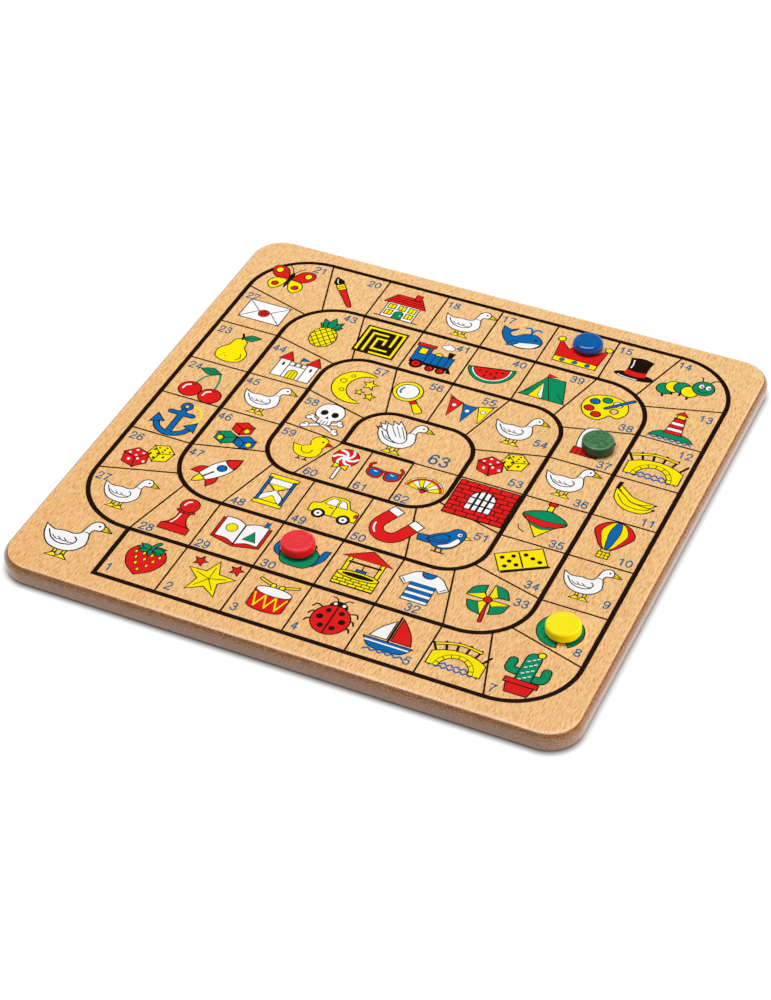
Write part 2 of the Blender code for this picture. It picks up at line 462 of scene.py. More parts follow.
def lacquer_material(name, finish, low, high):
    """Lacquer on a turned counter: painted shade on the side, worn on the top, fine turning marks."""
    material, tree, shader = new_material(name)
    place = object_coordinates(tree)
    values = add_patterns(tree, place, LACQUER_PATTERNS)
    rounding = finish["rounding"] * MM
    # Painted shade: the side has a darker colour, which gives way to the top's colour near the top
    upper = rescale(tree, axis_value(tree, place, "Z"), high.z - SHADED_SIDE_END * rounding,
                    high.z - TOP_START * rounding, curve="SMOOTHSTEP")
    colour = blend_colours(tree, upper, paint(*finish["side"]), paint(*finish["top"]))
    middle = (low + high) / 2
    offset = combine_vectors(tree, "SUBTRACT", place, (middle.x, middle.y, 0.0))
    radius = vector_length(tree, scaled(tree, offset, (1.0, 1.0, 0.0)))
    edge = (high.x - low.x) / 2 - RUBBED_EDGE * rounding
    off_edge = combine(tree, "ABSOLUTE", combine(tree, "SUBTRACT", radius, edge), 0.0)
    worn = lacquer_wear(tree, values, finish, upper, off_edge)
    ring_inputs = {"W": radius, "Scale": MARK_SCALE, "Detail": 2.0}
    marks = add_node(tree, "ShaderNodeTexNoise", ring_inputs, noise_dimensions="1D").outputs["Fac"]
    relief = combine(tree, "ADD", multiply(tree, marks, finish["marks"]),
                     multiply(tree, values["peel"], PEEL))
    rough = finish["roughness"]
    set_shader(tree, shader, Base_Color=blend_colours(tree, worn, colour, paint(*finish["worn"])),
               Roughness=rescale(tree, values["scuffs"], *SCUFF_RANGE, rough, rough + SCUFFED),
               Specular_IOR_Level=finish["shine"], Coat_Weight=finish["coat"], Coat_Roughness=0.05,
               Normal=bumpy(tree, relief, *LACQUER_RELIEF))
    return material


def ink_material(name, colour):
    """Screen-printing ink over the grain: near even, with the wood's fibres faintly under it."""
    material, tree, shader = new_material(name)
    values = add_patterns(tree, object_coordinates(tree), INK_PATTERNS)
    uneven = multiply(tree, rescale(tree, values["fibres"], *THIN_FIBRES),
                      rescale(tree, values["clouds"], *THIN_CLOUDS), THIN_INK)
    fainter = Vector(colour).lerp(Vector(WOOD_UNDER_INK), SHOWING_THROUGH)
    set_shader(tree, shader, Base_Color=blend_colours(tree, uneven, paint(*colour), paint(*fainter)),
               Roughness=rescale(tree, values["fibres"], *INK_ROUGHNESS),
               Specular_IOR_Level=0.05, Normal=bumpy(tree, values["fibres"], *INK_RELIEF))
    return material


# Stage


def add_object(name, data):
    thing = bpy.data.objects.new(name, data)
    bpy.context.scene.collection.objects.link(thing)
    return thing


def add_camera():
    lens = bpy.data.cameras.new("camera")
    lens.sensor_fit = "VERTICAL"
    lens.sensor_height = SENSOR_HEIGHT
    lens.lens = FOCAL_HEIGHTS * SENSOR_HEIGHT
    camera = add_object("camera", lens)
    camera.location = CAMERA_PLACE
    camera.rotation_euler = [math.radians(angle) for angle in CAMERA_TURN]
    bpy.context.scene.camera = camera


def seen_directly(tree):
    """1 where a ray comes straight from the camera or by a mirror or clear surface, 0 elsewhere."""
    ray = add_node(tree, "ShaderNodeLightPath").outputs
    either = combine(tree, "MAXIMUM", ray["Is Camera Ray"], ray["Is Glossy Ray"])
    return combine(tree, "MAXIMUM", either, ray["Is Transmission Ray"])


def off_board(tree):
    """0 in the shadow at the board's edge and 1 away from it, by the distance from its inner square: the
    reach of the painted shadow.
    """
    inner = cad_box[1].x - CORNER_RADIUS
    nothing = (0.0, 0.0, 0.0)
    place = combine_vectors(tree, "ABSOLUTE", object_coordinates(tree), nothing)
    past_corner = combine_vectors(tree, "SUBTRACT", place, (inner, inner, 0.0))
    reach = vector_length(tree, combine_vectors(tree, "MAXIMUM", past_corner, nothing))
    return rescale(tree, reach, CORNER_RADIUS + SHADOW_START, CORNER_RADIUS + SHADOW_END)


def add_floor():
    """A wide white sheet under the board, which reads as plain white to the eye away from the board,
    and near its edge shows a grey that deepens the lamps' shadow there as painted shade.
    """
    far = FLOOR_HALF_SIDE
    mesh = bpy.data.meshes.new("floor")
    corners = [(-far, -far, 0.0), (far, -far, 0.0), (far, far, 0.0), (-far, far, 0.0)]
    mesh.from_pydata(corners, [], [(0, 1, 2, 3)])
    material, tree, shader = new_material("floor")
    set_shader(tree, shader, Base_Color=FLOOR_SHADOW_GREY, Roughness=FLOOR_ROUGHNESS, Specular_IOR_Level=0.0)
    # Plain white away from the board; at its edge the grey floor under the lamps, in part a painted shadow
    plain = multiply(tree, seen_directly(tree), off_board(tree))
    white = add_node(tree, "ShaderNodeEmission", {"Color": WHITE, "Strength": 1.0}).outputs["Emission"]
    surface = add_node(tree, "ShaderNodeMixShader", {0: plain, 1: shader.outputs["BSDF"], 2: white})
    connect(tree, surface.outputs["Shader"], tree.nodes["Material Output"].inputs["Surface"])
    mesh.materials.append(material)
    add_object("floor", mesh)


def add_surroundings():
    """Faint even light from all round, with a horizon that reads as white as the floor to the eye."""
    world = bpy.data.worlds.new("studio")
    bpy.context.scene.world = world
    world.use_nodes = True
    tree = world.node_tree
    direction = add_node(tree, "ShaderNodeTexCoord").outputs["Generated"]
    horizon = rescale(tree, axis_value(tree, direction, "Z"), HORIZON_END, HORIZON_START)
    white = multiply(tree, seen_directly(tree), horizon)
    surroundings = tree.nodes["Background"]
    surroundings.inputs["Color"].default_value = WHITE
    connect(tree, rescale(tree, white, 0.0, 1.0, WORLD_LIGHT, 1.0), surroundings.inputs["Strength"])


def add_lamp(name, place, size, power, highlights):
    """A soft panel that faces the board, with or without highlights of its own on shiny surfaces."""
    lamp = bpy.data.lights.new(name, "AREA")
    lamp.shape = "RECTANGLE"
    lamp.size, lamp.size_y = size
    lamp.energy = power
    thing = add_object(name, lamp)
    thing.location = place
    thing.rotation_euler = (-Vector(place)).to_track_quat("-Z", "Y").to_euler()
    thing.visible_glossy = highlights


# Board and counters


def level(edge):
    first, second = edge.verts
    return abs(first.co.z - second.co.z) < WELD


def round_off(slab, edges, radius, segments):
    bmesh.ops.bevel(slab, geom=edges, offset=radius, offset_type="OFFSET", segments=segments,
                    profile=ROUND_PROFILE, affect="EDGES")


def rounded_panel(low, high):
    """The glued-up board as one solid: a square slab with round corners and a rounded rim."""
    slab = bmesh.new()
    bmesh.ops.create_cube(slab, size=1.0)
    bmesh.ops.scale(slab, vec=high - low, verts=slab.verts)
    bmesh.ops.translate(slab, vec=(low + high) / 2, verts=slab.verts)
    round_off(slab, [edge for edge in slab.edges if not level(edge)], CORNER_RADIUS, CORNER_SEGMENTS)
    round_off(slab, [edge for edge in slab.edges if level(edge)], RIM_ROUNDING, RIM_SEGMENTS)
    return slab


def cut_away(slab, height, above):
    """Cuts the slab level at a height, drops what is above or below the cut, and closes it."""
    bmesh.ops.bisect_plane(slab, geom=slab.verts[:] + slab.edges[:] + slab.faces[:],
                           plane_co=(0.0, 0.0, height), plane_no=(0.0, 0.0, 1.0),
                           clear_outer=above, clear_inner=not above)
    open_edges = [edge for edge in slab.edges if edge.is_boundary]
    bmesh.ops.contextual_create(slab, geom=open_edges)


def add_piece(name, mesh, material, body, slot, *nodes):
    mesh.materials.append(material)
    piece = add_object(name, mesh)
    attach(piece, body)
    if nodes:
        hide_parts(*nodes)
    return piece


def add_board_layer(node, slot, material):
    """One layer of the board, cut out of the rounded panel at the heights of its CAD node."""
    core_low, core_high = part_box("board_core")
    panel_low = Vector((core_low.x, core_low.y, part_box("bottom_veneer")[0].z))
    panel_high = Vector((core_high.x, core_high.y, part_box("top_veneer")[1].z))
    low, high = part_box(node)
    slab = rounded_panel(panel_low, panel_high)
    if low.z > panel_low.z + WELD:
        cut_away(slab, low.z, above=False)
    if high.z < panel_high.z - WELD:
        cut_away(slab, high.z, above=True)
    bmesh.ops.recalc_face_normals(slab, faces=slab.faces)
    mesh = bpy.data.meshes.new(node + "_faced")
    slab.to_mesh(mesh)
    slab.free()
    mesh.shade_smooth()
    mesh.set_sharp_from_angle(angle=SMOOTH_ANGLE)
    add_piece(node + "_faced", mesh, material, "board", slot, node)


def quarter_arc(x, z, radius, start):
    """Points of a quarter turn about a centre, clockwise from a start angle in degrees."""
    angles = [math.radians(start - 90 * step / SECTION_STEPS) for step in range(SECTION_STEPS + 1)]
    return [(x + radius * math.cos(angle), z + radius * math.sin(angle)) for angle in angles]


def counter_section(radius, height, rounding, hollow):
    """Half section of a counter, from the middle of its top down its side to the middle of its base."""
    flat = radius - rounding
    edge = height + min(hollow, 0.0)
    middle = height - max(hollow, 0.0)
    shares = [step / SECTION_STEPS for step in range(SECTION_STEPS)]
    top = [(flat * share, middle + (edge - middle) * share * share) for share in shares]
    side = quarter_arc(flat, edge - rounding, rounding, 90)
    base = quarter_arc(flat, rounding, rounding, 0)
    return [*top, *side, *base, (0.0, 0.0)]


def add_counter(body, finish):
    """A turned counter in the place of its CAD node, with the slight unevenness of turned wood."""
    node = body + "_counter"
    low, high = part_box(node)
    rounding = finish["rounding"] * MM
    section = counter_section((high.x - low.x) / 2, high.z - low.z, rounding, finish["hollow"] * MM)
    turned = bmesh.new()
    points = [turned.verts.new((x, 0.0, z)) for x, z in section]
    edges = [turned.edges.new(pair) for pair in zip(points, points[1:])]
    bmesh.ops.spin(turned, geom=points + edges, cent=(0.0, 0.0, 0.0), axis=(0.0, 0.0, 1.0),
                   angle=math.tau, steps=TURNED_STEPS, use_merge=True)
    bmesh.ops.remove_doubles(turned, verts=turned.verts, dist=WELD)
    bmesh.ops.recalc_face_normals(turned, faces=turned.faces)
    for vertex in turned.verts:
        if vertex.co.z > rounding:
            waver = noise.noise(vertex.co / UNEVEN_SPAN + Vector(low) / MM)
            vertex.co -= vertex.co.normalized() * UNEVENNESS * (1 + waver)
    mesh = bpy.data.meshes.new(node + "_turned")
    turned.to_mesh(mesh)
    turned.free()
    mesh.shade_smooth()
    mesh.transform(Matrix.Translation(((low.x + high.x) / 2, (low.y + high.y) / 2, low.z)))
    lacquer = lacquer_material(body + "_lacquer", finish, low, high)
    add_piece(node + "_turned", mesh, lacquer, body, body + "_lacquer", node)


# Drawing


def on_circle(x, y, radius, angle):
    """The point on a circle about a centre, at an angle in degrees."""
    angle = math.radians(angle)
    return x + radius * math.cos(angle), y + radius * math.sin(angle)


def along_arc(x, y, radius, start, end):
    """Points on an arc about a centre, from one angle to another in degrees."""
    count = max(2, math.ceil(abs(end - start) / ARC_STEP))
    return [on_circle(x, y, radius, start + (end - start) * step / count) for step in range(count + 1)]


def along_curve(points, closed):
    """A smooth curve through points. A point with a third value is a corner: it counts twice."""
    points = [Vector((x, y)) for x, y, *corner in points for _ in range(1 + len(corner))]
    count = len(points)
    path = []
    for index in range(count if closed else count - 1):
        here = points[index]
        after = points[(index + 1) % count]
        if here == after:
            continue
        before = points[index - 1] if closed or index else here
        beyond = points[(index + 2) % count] if closed or index + 2 < count else after
        leave = (after - before) / 2
        arrive = (beyond - here) / 2
        for step in range(CURVE_STEPS):
            share = step / CURVE_STEPS
            rest = 1 - share
            path.append(here * rest * rest * (1 + 2 * share) + after * share * share * (3 - 2 * share)
                        + leave * share * rest * rest - arrive * share * share * rest)
    return path if closed else path + [points[-1]]


def shifted(path, distance, closed):
    """A path moved to its right by a distance, with its corners kept up to the mitre limit."""
    path = [Vector(point) for point in path]
    last = len(path) - 1
    moved = []
    for index, here in enumerate(path):
        before = path[index - 1] if closed or index else None
        after = path[(index + 1) % len(path)] if closed or index < last else None
        sides = [(end - start).normalized() for start, end in ((before, here), (here, after))
                 if start is not None and end is not None]
        normals = [Vector((side.y, -side.x)) for side in sides]
        middle = sum(normals, Vector((0.0, 0.0))).normalized()
        reach = 1 / max(1 / MITRE_LIMIT, middle.dot(normals[0]))
        moved.append(here + middle * distance * reach)
    return moved


def anticlockwise(outline):
    outline = [Vector(point) for point in outline]
    turns = zip(outline, outline[1:] + outline[:1])
    area = sum(first.x * second.y - second.x * first.y for first, second in turns)
    return outline if area > 0 else outline[::-1]


def windings(outline, places):
    """How many times a closed outline runs round each place."""
    start = outline[None]
    end = np.roll(outline, -1, axis=0)[None]
    place = places[:, None]
    run = end - start
    off = place - start
    side = run[..., 0] * off[..., 1] - run[..., 1] * off[..., 0]
    rising = (start[..., 1] <= place[..., 1]) & (end[..., 1] > place[..., 1]) & (side > 0)
    falling = (start[..., 1] > place[..., 1]) & (end[..., 1] <= place[..., 1]) & (side < 0)
    return rising.sum(axis=1) - falling.sum(axis=1)


class Print:
    """Inked shapes laid over each other, drawn about a place that moves from picture to picture."""

    def __init__(self):
        self.shapes = []
        self.place(0.0, 0.0)

    def place(self, x, y, size=1.0, turn=0.0):
        move = Matrix.Translation((x, y, 0.0))
        self.frame = move @ Matrix.Rotation(math.radians(turn), 4, "Z") @ Matrix.Scale(size, 4)

    def turn(self, angle):
        """Turns the drawing about its place, at full size."""
        self.place(*self.frame.translation.xy, 1.0, angle)

    def sides(self):
        """For a loop that draws the same shapes twice: mirrored on the left, then on the right."""
        upright = self.frame
        for side in (-1.0, 1.0):
            self.frame = upright @ Matrix.Diagonal((side, 1.0, 1.0, 1.0))
            yield
        self.frame = upright

    def area(self, ink, outline):
        placed = [self.frame @ Vector((*point, 0.0)) for point in outline]
        self.shapes.append((ink, anticlockwise([point.to_2d() for point in placed])))

    def shape(self, ink, outline, line=OUTLINE):
        """A filled outline with a black line round it."""
        if line:
            self.area("black", shifted(anticlockwise(outline), line + LINE_GAIN, closed=True))
        self.area(ink, outline)

    def poly(self, ink, *points, line=OUTLINE):
        self.shape(ink, points, line)

    def blob(self, ink, *points, line=OUTLINE):
        self.shape(ink, along_curve(points, closed=True), line)

    def oval(self, ink, x, y, across, up=None, line=OUTLINE, turn=0.0):
        """An ellipse by its middle and its half sizes."""
        lean = Matrix.Rotation(math.radians(turn), 2)
        circle = along_arc(0, 0, 1, 0, 360)[:-1]
        outline = [lean @ Vector((right * across, back * (up or across))) for right, back in circle]
        self.shape(ink, [(x + point.x, y + point.y) for point in outline], line)

    def dot(self, ink, x, y, across, up=None, turn=0.0):
        """An ellipse without a line round it."""
        self.oval(ink, x, y, across, up, 0.0, turn)

    def box(self, ink, left, bottom, right, top, line=OUTLINE):
        self.shape(ink, [(left, bottom), (right, bottom), (right, top), (left, top)], line)

    def stroke(self, ink, path, width, round_ends=True):
        """An open line of one width."""
        right = shifted(path, width / 2, closed=False)
        left = shifted(path, -width / 2, closed=False)
        if not round_ends:
            self.area(ink, right + left[::-1])
            return
        ends = []
        for tip, side in ((path[-1], right[-1]), (path[0], left[0])):
            tip = Vector(tip)
            angle = math.degrees(math.atan2(side.y - tip.y, side.x - tip.x))
            first, last = (angle + turn for turn in ROUND_END)
            ends.append([Vector(point) for point in along_arc(*tip, width / 2, first, last)[::2]])
        self.area(ink, right + ends[0] + left[::-1] + ends[1])

    def line(self, *points, width=OUTLINE, ink="black"):
        self.stroke(ink, points, width + LINE_GAIN)

    def curve(self, *points, width=OUTLINE, ink="black"):
        self.stroke(ink, along_curve(points, closed=False), width + LINE_GAIN)

    def tube(self, ink, *points, width=2.0, line=OUTLINE):
        """A smooth line with a black line round it."""
        path = along_curve(points, closed=False)
        self.stroke("black", path, width + 2 * (line + LINE_GAIN))
        self.stroke(ink, path, width)

    def triangles(self):
        """The print cut into triangles: their corner points, and for each ink its triangles."""
        corners = []
        edges = []
        for _, outline in self.shapes:
            numbers = range(len(corners), len(corners) + len(outline))
            edges.extend(zip([numbers[-1], *numbers], numbers))
            corners.extend(outline)
        points, _, triangles = delaunay_2d_cdt(corners, edges, [], 0, CLOSE)[:3]
        points = np.array(points)
        triangles = np.array(triangles)
        triangles = triangles[points[triangles].mean(axis=1)[:, 0].argsort()]
        across, up = points[triangles].mean(axis=1).T
        shown = np.full(len(triangles), -1)
        for index, (_, outline) in enumerate(self.shapes):
            outline = np.array(outline)
            low, high = outline.min(axis=0), outline.max(axis=0)
            first, last = np.searchsorted(across, (low[0], high[0]))
            near = first + np.flatnonzero((up[first:last] > low[1]) & (up[first:last] < high[1]))
            inside = windings(outline, np.column_stack((across[near], up[near]))) != 0
            shown[near[inside]] = index
        ink_of = np.array([ink for ink, _ in self.shapes] + ["bare"])[shown]
        return points, {ink: triangles[ink_of == ink] for ink in INKS}


# Track


def turn_points(corner, entry, leaving, radius):
    """A corner of the track rounded off: the arc from its entry to its leaving direction."""
    centre = corner + (leaving - entry) * radius
    points = []
    for step in range(TURN_STEPS + 1):
        angle = math.pi / 2 * step / TURN_STEPS
        points.append(centre + radius * (entry * math.sin(angle) - leaving * math.cos(angle)))
    return points


def spiral_corners():
    """Corners of the track's one long line, from the start to the goal, with their roundings."""
    corners = [(Vector((START_LINE, -GRID[3])), 0.0), (Vector((START_LINE, -GRID[4])), 0.0)]
    for ring, radius in enumerate(TURN_RADII):
        outer = GRID[4 - ring]
        inner = GRID[3 - ring]
        for x, y in ((outer, -outer), (outer, outer), (-outer, outer), (-outer, -inner)):
            corners.append((Vector((x, y)), radius))
    corners[-1] = (corners[-1][0], 0.0)
    corners.append((Vector((HOME_ROW_LINES[1], 0.0)), 0.0))
    return corners


def draw_track(pen):
    corners = spiral_corners()
    places = [corner for corner, _ in corners]
    turns = [[places[0]]]
    for before, (corner, radius), after in zip(places, corners[1:], places[2:]):
        entry = (corner - before).normalized()
        leaving = (after - corner).normalized()
        turns.append(turn_points(corner, entry, leaving, radius) if radius else [corner])
    turns.append([places[-1]])
    pen.place(0.0, 0.0)
    for here, there in zip(turns, turns[1:]):
        if len(here) > 1:
            pen.stroke("black", here, TRACK_LINE, round_ends=False)
        overlap = (there[0] - here[-1]).normalized() * TRACK_LINE / 2
        start = here[-1] - overlap * (JOIN_OVERLAP if len(here) > 1 else 1.0)
        pen.stroke("black", [start, there[0] + overlap * JOIN_OVERLAP], TRACK_LINE, round_ends=False)
    for line in space_lines(corners):
        pen.stroke("black", line, SPACE_LINE, round_ends=False)


def run_from(corners, index):
    """The straight run from a corner of the spiral to the next: both, its way along and inward, and
    the width of its lane.
    """
    corner, following = corners[index][0], corners[index + 1][0]
    along = (following - corner).normalized()
    inward = Vector((-along.y, along.x))
    lane = abs((corners[index + LAP][0] - corner).dot(inward))
    return corner, following, along, inward, lane


def run_lines(corners, index):
    """Distances from a corner of the spiral to the lines across the straight lane that leaves it."""
    corner, following, along, _, lane = run_from(corners, index)
    first = corner.dot(along)
    if index == LAST_RUN:
        return [LAST_TURN_LINES[1], *[x - first for x in HOME_ROW_LINES], following.dot(along) - first]
    before = abs((corners[index + LAP][0] - corner).dot(along)) if index > FIRST_RUN else 0.0
    if index == RUN_PAST_START:
        before = START_LINE - first
    after = following.dot(along) - first - lane
    grid = [-value for value in GRID[:0:-1]] + list(GRID)
    between = [value - first for value in grid if before + LEAST_SPACE < value - first < after - LEAST_SPACE]
    return [before, *between, after]


def space_lines(corners):
    """The thin lines between the spaces: straight across the lanes, and slanting at the turns."""
    lines = []
    for index in range(FIRST_RUN, LAST_RUN + 1):
        corner, _, along, inward, lane = run_from(corners, index)
        across = run_lines(corners, index)
        for distance in across[1:-1]:
            start = corner + along * distance
            lines.append((start, start + inward * lane))
        if index == FIRST_RUN:
            continue
        inner, radius = corners[index + LAP]
        entry = (corner - corners[index - 1][0]).normalized()
        mouth = CORNER_SPACE_MOUTHS[(index - FIRST_RUN - 1) // LAP] if radius else 0.0
        half_mouth = mouth / 2 / radius if radius else 0.0
        centre = inner + (along - entry) * radius
        before = LAST_TURN_LINES[0] if index == LAST_RUN else abs((inner - corner).dot(entry))
        for start, angle in ((corner - entry * before, math.pi / 4 - half_mouth),
                             (corner + along * across[0], math.pi / 4 + half_mouth)):
            reach = entry * math.sin(angle) - along * math.cos(angle)
            lines.append((start, centre + reach * radius))
    lines.append((Vector((HOME_ROW_LINES[1], 0.0)), Vector((GRID[1], 0.0))))
    return lines


# Pictures


def star_points(x, y, outer, inner, count, turn=90):
    """A star about a middle, with its first tip at an angle in degrees."""
    return [on_circle(x, y, inner if step % 2 else outer, turn + 180 * step / count)
            for step in range(2 * count)]


def leaf_points(start, end, bulge):
    """A pointed leaf from its stem to its tip, bulging by a share of its length on each side."""
    start, end = Vector(start), Vector(end)
    side = (end - start).orthogonal() * bulge
    middle = (start + end) / 2
    return [(*start, 1), middle + side, (*end, 1), middle - side]


def mirrored(*half):
    """The left half of an outline made whole with its mirror image."""
    return [*half, *[(-x, *rest) for x, *rest in reversed(half) if x]]


def draw_cloud(pen, x, y, size):
    puffs = ((-5, 0, 3.6), (0, 1.6, 4.6), (5, 0, 3.6), (0, -1.4, 4))
    for grow, ink in ((OUTLINE, "black"), (0, "white")):
        for across, up, radius in puffs:
            pen.dot(ink, x + across * size, y + up * size, radius * size + grow)


def draw_waves(pen, left, right, y):
    count = round((right - left) / 5)
    step = (right - left) / count / 2
    points = [(left + index * step, y + (0.9 if index % 2 else -0.9)) for index in range(2 * count + 1)]
    pen.curve(*points, width=1.1, ink="blue")


def draw_goose(pen):
    for x in (-2, 3.2):
        pen.tube("yellow", (x, -7), (x - 0.3, -13.6), width=1.2)
        pen.poly("yellow", (x - 3.4, -15.4), (x + 3, -15.4), (x - 0.2, -12.8))
    pen.blob("yellow", (12.6, 12.4, 1), (18.6, 13, 1), (15, 15.4), (12.6, 16.2))
    pen.curve((13.4, 14), (15.6, 13.8), (17.6, 13.4), width=0.35)
    pen.blob("white", (-16.5, 6, 1), (-14, -1.5), (-8.5, -7.6), (-1, -9.4), (6, -7.6),
             (10.2, -2), (9.6, 3.6), (8.2, 8), (9.2, 11.4), (12.6, 12.4), (13.4, 15.2), (11.6, 17.8),
             (8.4, 17.8), (6, 15.2), (5, 10.6), (4, 6.4), (0.6, 4.4), (-5, 4.6), (-11, 3.6))
    pen.curve((-13.4, 2.6), (-9, -3), (-2.6, -5.2), (3.4, -3.4), (4.6, 0.4), (2.6, 2.4))
    for start in (-9.6, -6, -2.4):
        pen.curve((start, -0.6), (start + 3, -2.6), (start + 6, -2.4), width=0.4)
    pen.curve((8.4, 7.6), (6.6, 8.2), (5.2, 7.8), width=0.35)
    pen.dot("black", 10.8, 15.2, 0.75)


def draw_winner_goose(pen):
    pen.blob("white", (-2, 2), (-8, 8), (-15, 12.5, 1), (-13.6, 9.6), (-17, 9.6, 1), (-14.6, 6.4),
             (-17.6, 5.4, 1), (-13, 2.2), (-6, -2))
    draw_goose(pen)
    pen.blob("white", (4.6, 0), (1, 8), (-5.6, 16, 1), (-5.6, 12.4), (-9.6, 14.6, 1),
             (-8.6, 10.4), (-12.4, 11, 1), (-10, 4), (-4, -3), (2, -4.2))
    for x in (-9, -6, -3):
        pen.curve((x, 12.3 + x * 0.3), (x + 3.4, 6.6 + x * 0.2), (x + 6.4, 1), width=0.4)


def draw_bridge(pen):
    deck = along_arc(0, -30, 34, 125, 55)
    opening = along_arc(0, -14, 11.5, 0, 180)
    draw_waves(pen, -17, 18, -14.5)
    draw_waves(pen, -15, 15, -11)
    rail = along_arc(0, -30, 41, 119, 61)
    for angle in range(121, 58, -12):
        pen.line(on_circle(0, -30, 34, angle), on_circle(0, -30, 42.4, angle), width=1.6)
    pen.tube("yellow", *rail[::2], width=1.3)
    pen.shape("yellow", [*deck, (19.5, -14), *opening, (-19.5, -14)])
    for angle in range(15, 166, 25):
        pen.line(on_circle(0, -14, 11.5, angle), on_circle(0, -14, 14.6, angle), width=0.45)
    pen.stroke("black", along_arc(0, -14, 14.6, 0, 180), 0.45)


def draw_inn(pen):
    pen.box("white", -12, -15, 12, 3)
    pen.poly("red", (-15.5, 2.5), (15.5, 2.5), (9.5, 12.5), (-9.5, 12.5))
    pen.box("red", 4, 11, 8, 17)
    for x in (-8, 0, 8):
        pen.box("yellow", x - 2.4, -4.5, x + 2.4, 0.2)
        pen.line((x, -4.5), (x, 0.2), width=0.4)
    for x in (-8, 8):
        pen.box("yellow", x - 2.4, -12, x + 2.4, -7.2)
        pen.line((x, -12), (x, -7.2), width=0.4)
    pen.shape("green", [(-3, -15), (3, -15), *along_arc(0, -9.5, 3, 0, 180)])
    pen.dot("yellow", 1.7, -11, 0.6)
    for y in (5, 7.5, 10):
        half = 15.5 - (y - 2.5) * 0.6
        pen.line((-half, y), (half, y), width=0.4)
    pen.box("black", -17, -16, 17, -15, line=0)


def draw_die(pen, ink, pips, spots):
    """A die seen over one corner. Spots are given on its left, right and upper faces."""
    corner, down = Vector((0, -1.2)), Vector((0, -9.4))
    left, right = Vector((-8.2, 4.8)), Vector((8.2, 4.8))
    for side in (left, right):
        pen.poly(ink, corner + side, corner, corner + down, corner + side + down)
    pen.poly(ink, corner + left, corner, corner + right, (0, 8.6))
    faces = ((left, down, 1.25), (right, down, 1.25), (right, left, 0.8))
    for (first, second, up), places in zip(faces, spots):
        for across, along in places:
            x, y = corner + first * across + second * along
            pen.dot(pips, x, y, 0.95, up)


def draw_dice(pen):
    x, y = pen.frame.translation.xy
    five = ((0.5, 0.5), (0.22, 0.22), (0.22, 0.78), (0.78, 0.22), (0.78, 0.78))
    pen.place(x + 7.5, y + 5.5, 0.95, -12)
    draw_die(pen, "yellow", "black", (five[1:], five[:1], five))
    pen.place(x - 7, y - 4.5, 1, 14)
    draw_die(pen, "red", "white", (five[:1], five[1::3], five[1:]))
    pen.place(x, y)


def draw_brick_joints(pen, left, bottom, right, top, course, brick):
    """Mortar lines of a brick wall, every other course set over by half a brick."""
    rows = round((top - bottom) / course)
    for row in range(rows):
        y = bottom + row * course
        pen.line((left, y), (right, y), width=0.5)
        x = left + brick * (0.5 if row % 2 else 1)
        while x < right - 0.5:
            pen.line((x, y), (x, y + course), width=0.5)
            x += brick


def draw_well(pen):
    for x in (-10.5, 10.5):
        pen.box("yellow", x - 1, -6, x + 1, 10)
    pen.poly("red", (-15.5, 8.5), (15.5, 8.5), (0, 17))
    pen.line((-10, 4.5), (10, 4.5), width=1.4)
    pen.line((0, 4.5), (0, -1), width=0.6)
    pen.poly("blue", (-2.8, -1), (2.8, -1), (2.1, -5.5), (-2.1, -5.5))
    pen.box("yellow", -13, -16, 13, -6)
    draw_brick_joints(pen, -13, -16, 13, -8.8, 2.4, 5.2)
    pen.oval("yellow", 0, -6, 13, 2.8)
    pen.dot("black", 0, -6, 10.5, 1.8)


def draw_maze(pen):
    pen.box("black", -16, -15, 16, 17, line=0)
    walls = (((-13.5, -12.5), (-13.5, 14.5), (13.5, 14.5), (13.5, -12.5), (-3.5, -12.5)),
             ((-8.5, -12.5), (-8.5, 9.5), (3, 9.5)), ((8.5, 14.5), (8.5, -2)),
             ((8.5, -7.5), (-3.5, -7.5), (-3.5, 4.5), (3, 4.5), (3, -2)))
    for wall in walls:
        pen.stroke("yellow", wall, 1.9, round_ends=False)


def draw_prison(pen):
    pen.box("red", -19, -16, 19, 16)
    draw_brick_joints(pen, -19, -16, 19, 16, 4, 7.6)
    pen.shape("white", [(-8, -8), (8, -8), *along_arc(0, 2, 8, 0, 180)])
    for x in (-4, 0, 4):
        pen.line((x, -8), (x, 2 + math.sqrt(8 * 8 - x * x)), width=1.3)
    for y in (-3, 3):
        pen.line((-8, y), (8, y), width=1)


def draw_skull(pen):
    for side in (-1, 1):
        pen.tube("white", (-11 * side, -4), (11 * side, -14), width=2.4)
        for x, y in ((-11 * side, -4), (11 * side, -14)):
            pen.oval("white", x, y + 1.4, 1.8)
            pen.oval("white", x + math.copysign(1.6, x), y - 1, 1.8)
            pen.dot("white", x - math.copysign(0.6, x), y, 1.5)
    pen.blob("white", *mirrored((-4.5, -8), (-4.8, -3), (-9, 0), (-10.4, 6), (-7.6, 12.5), (-2, 15)))
    for _ in pen.sides():
        pen.dot("black", 4.2, 4.2, 2.7, 3.1, turn=12)
    pen.poly("black", (0, 1.2), (-1.5, -1.8), (1.5, -1.8), line=0)
    for x in (-2.4, 0, 2.4):
        pen.line((x, -8.2), (x, -4.6), width=0.45)


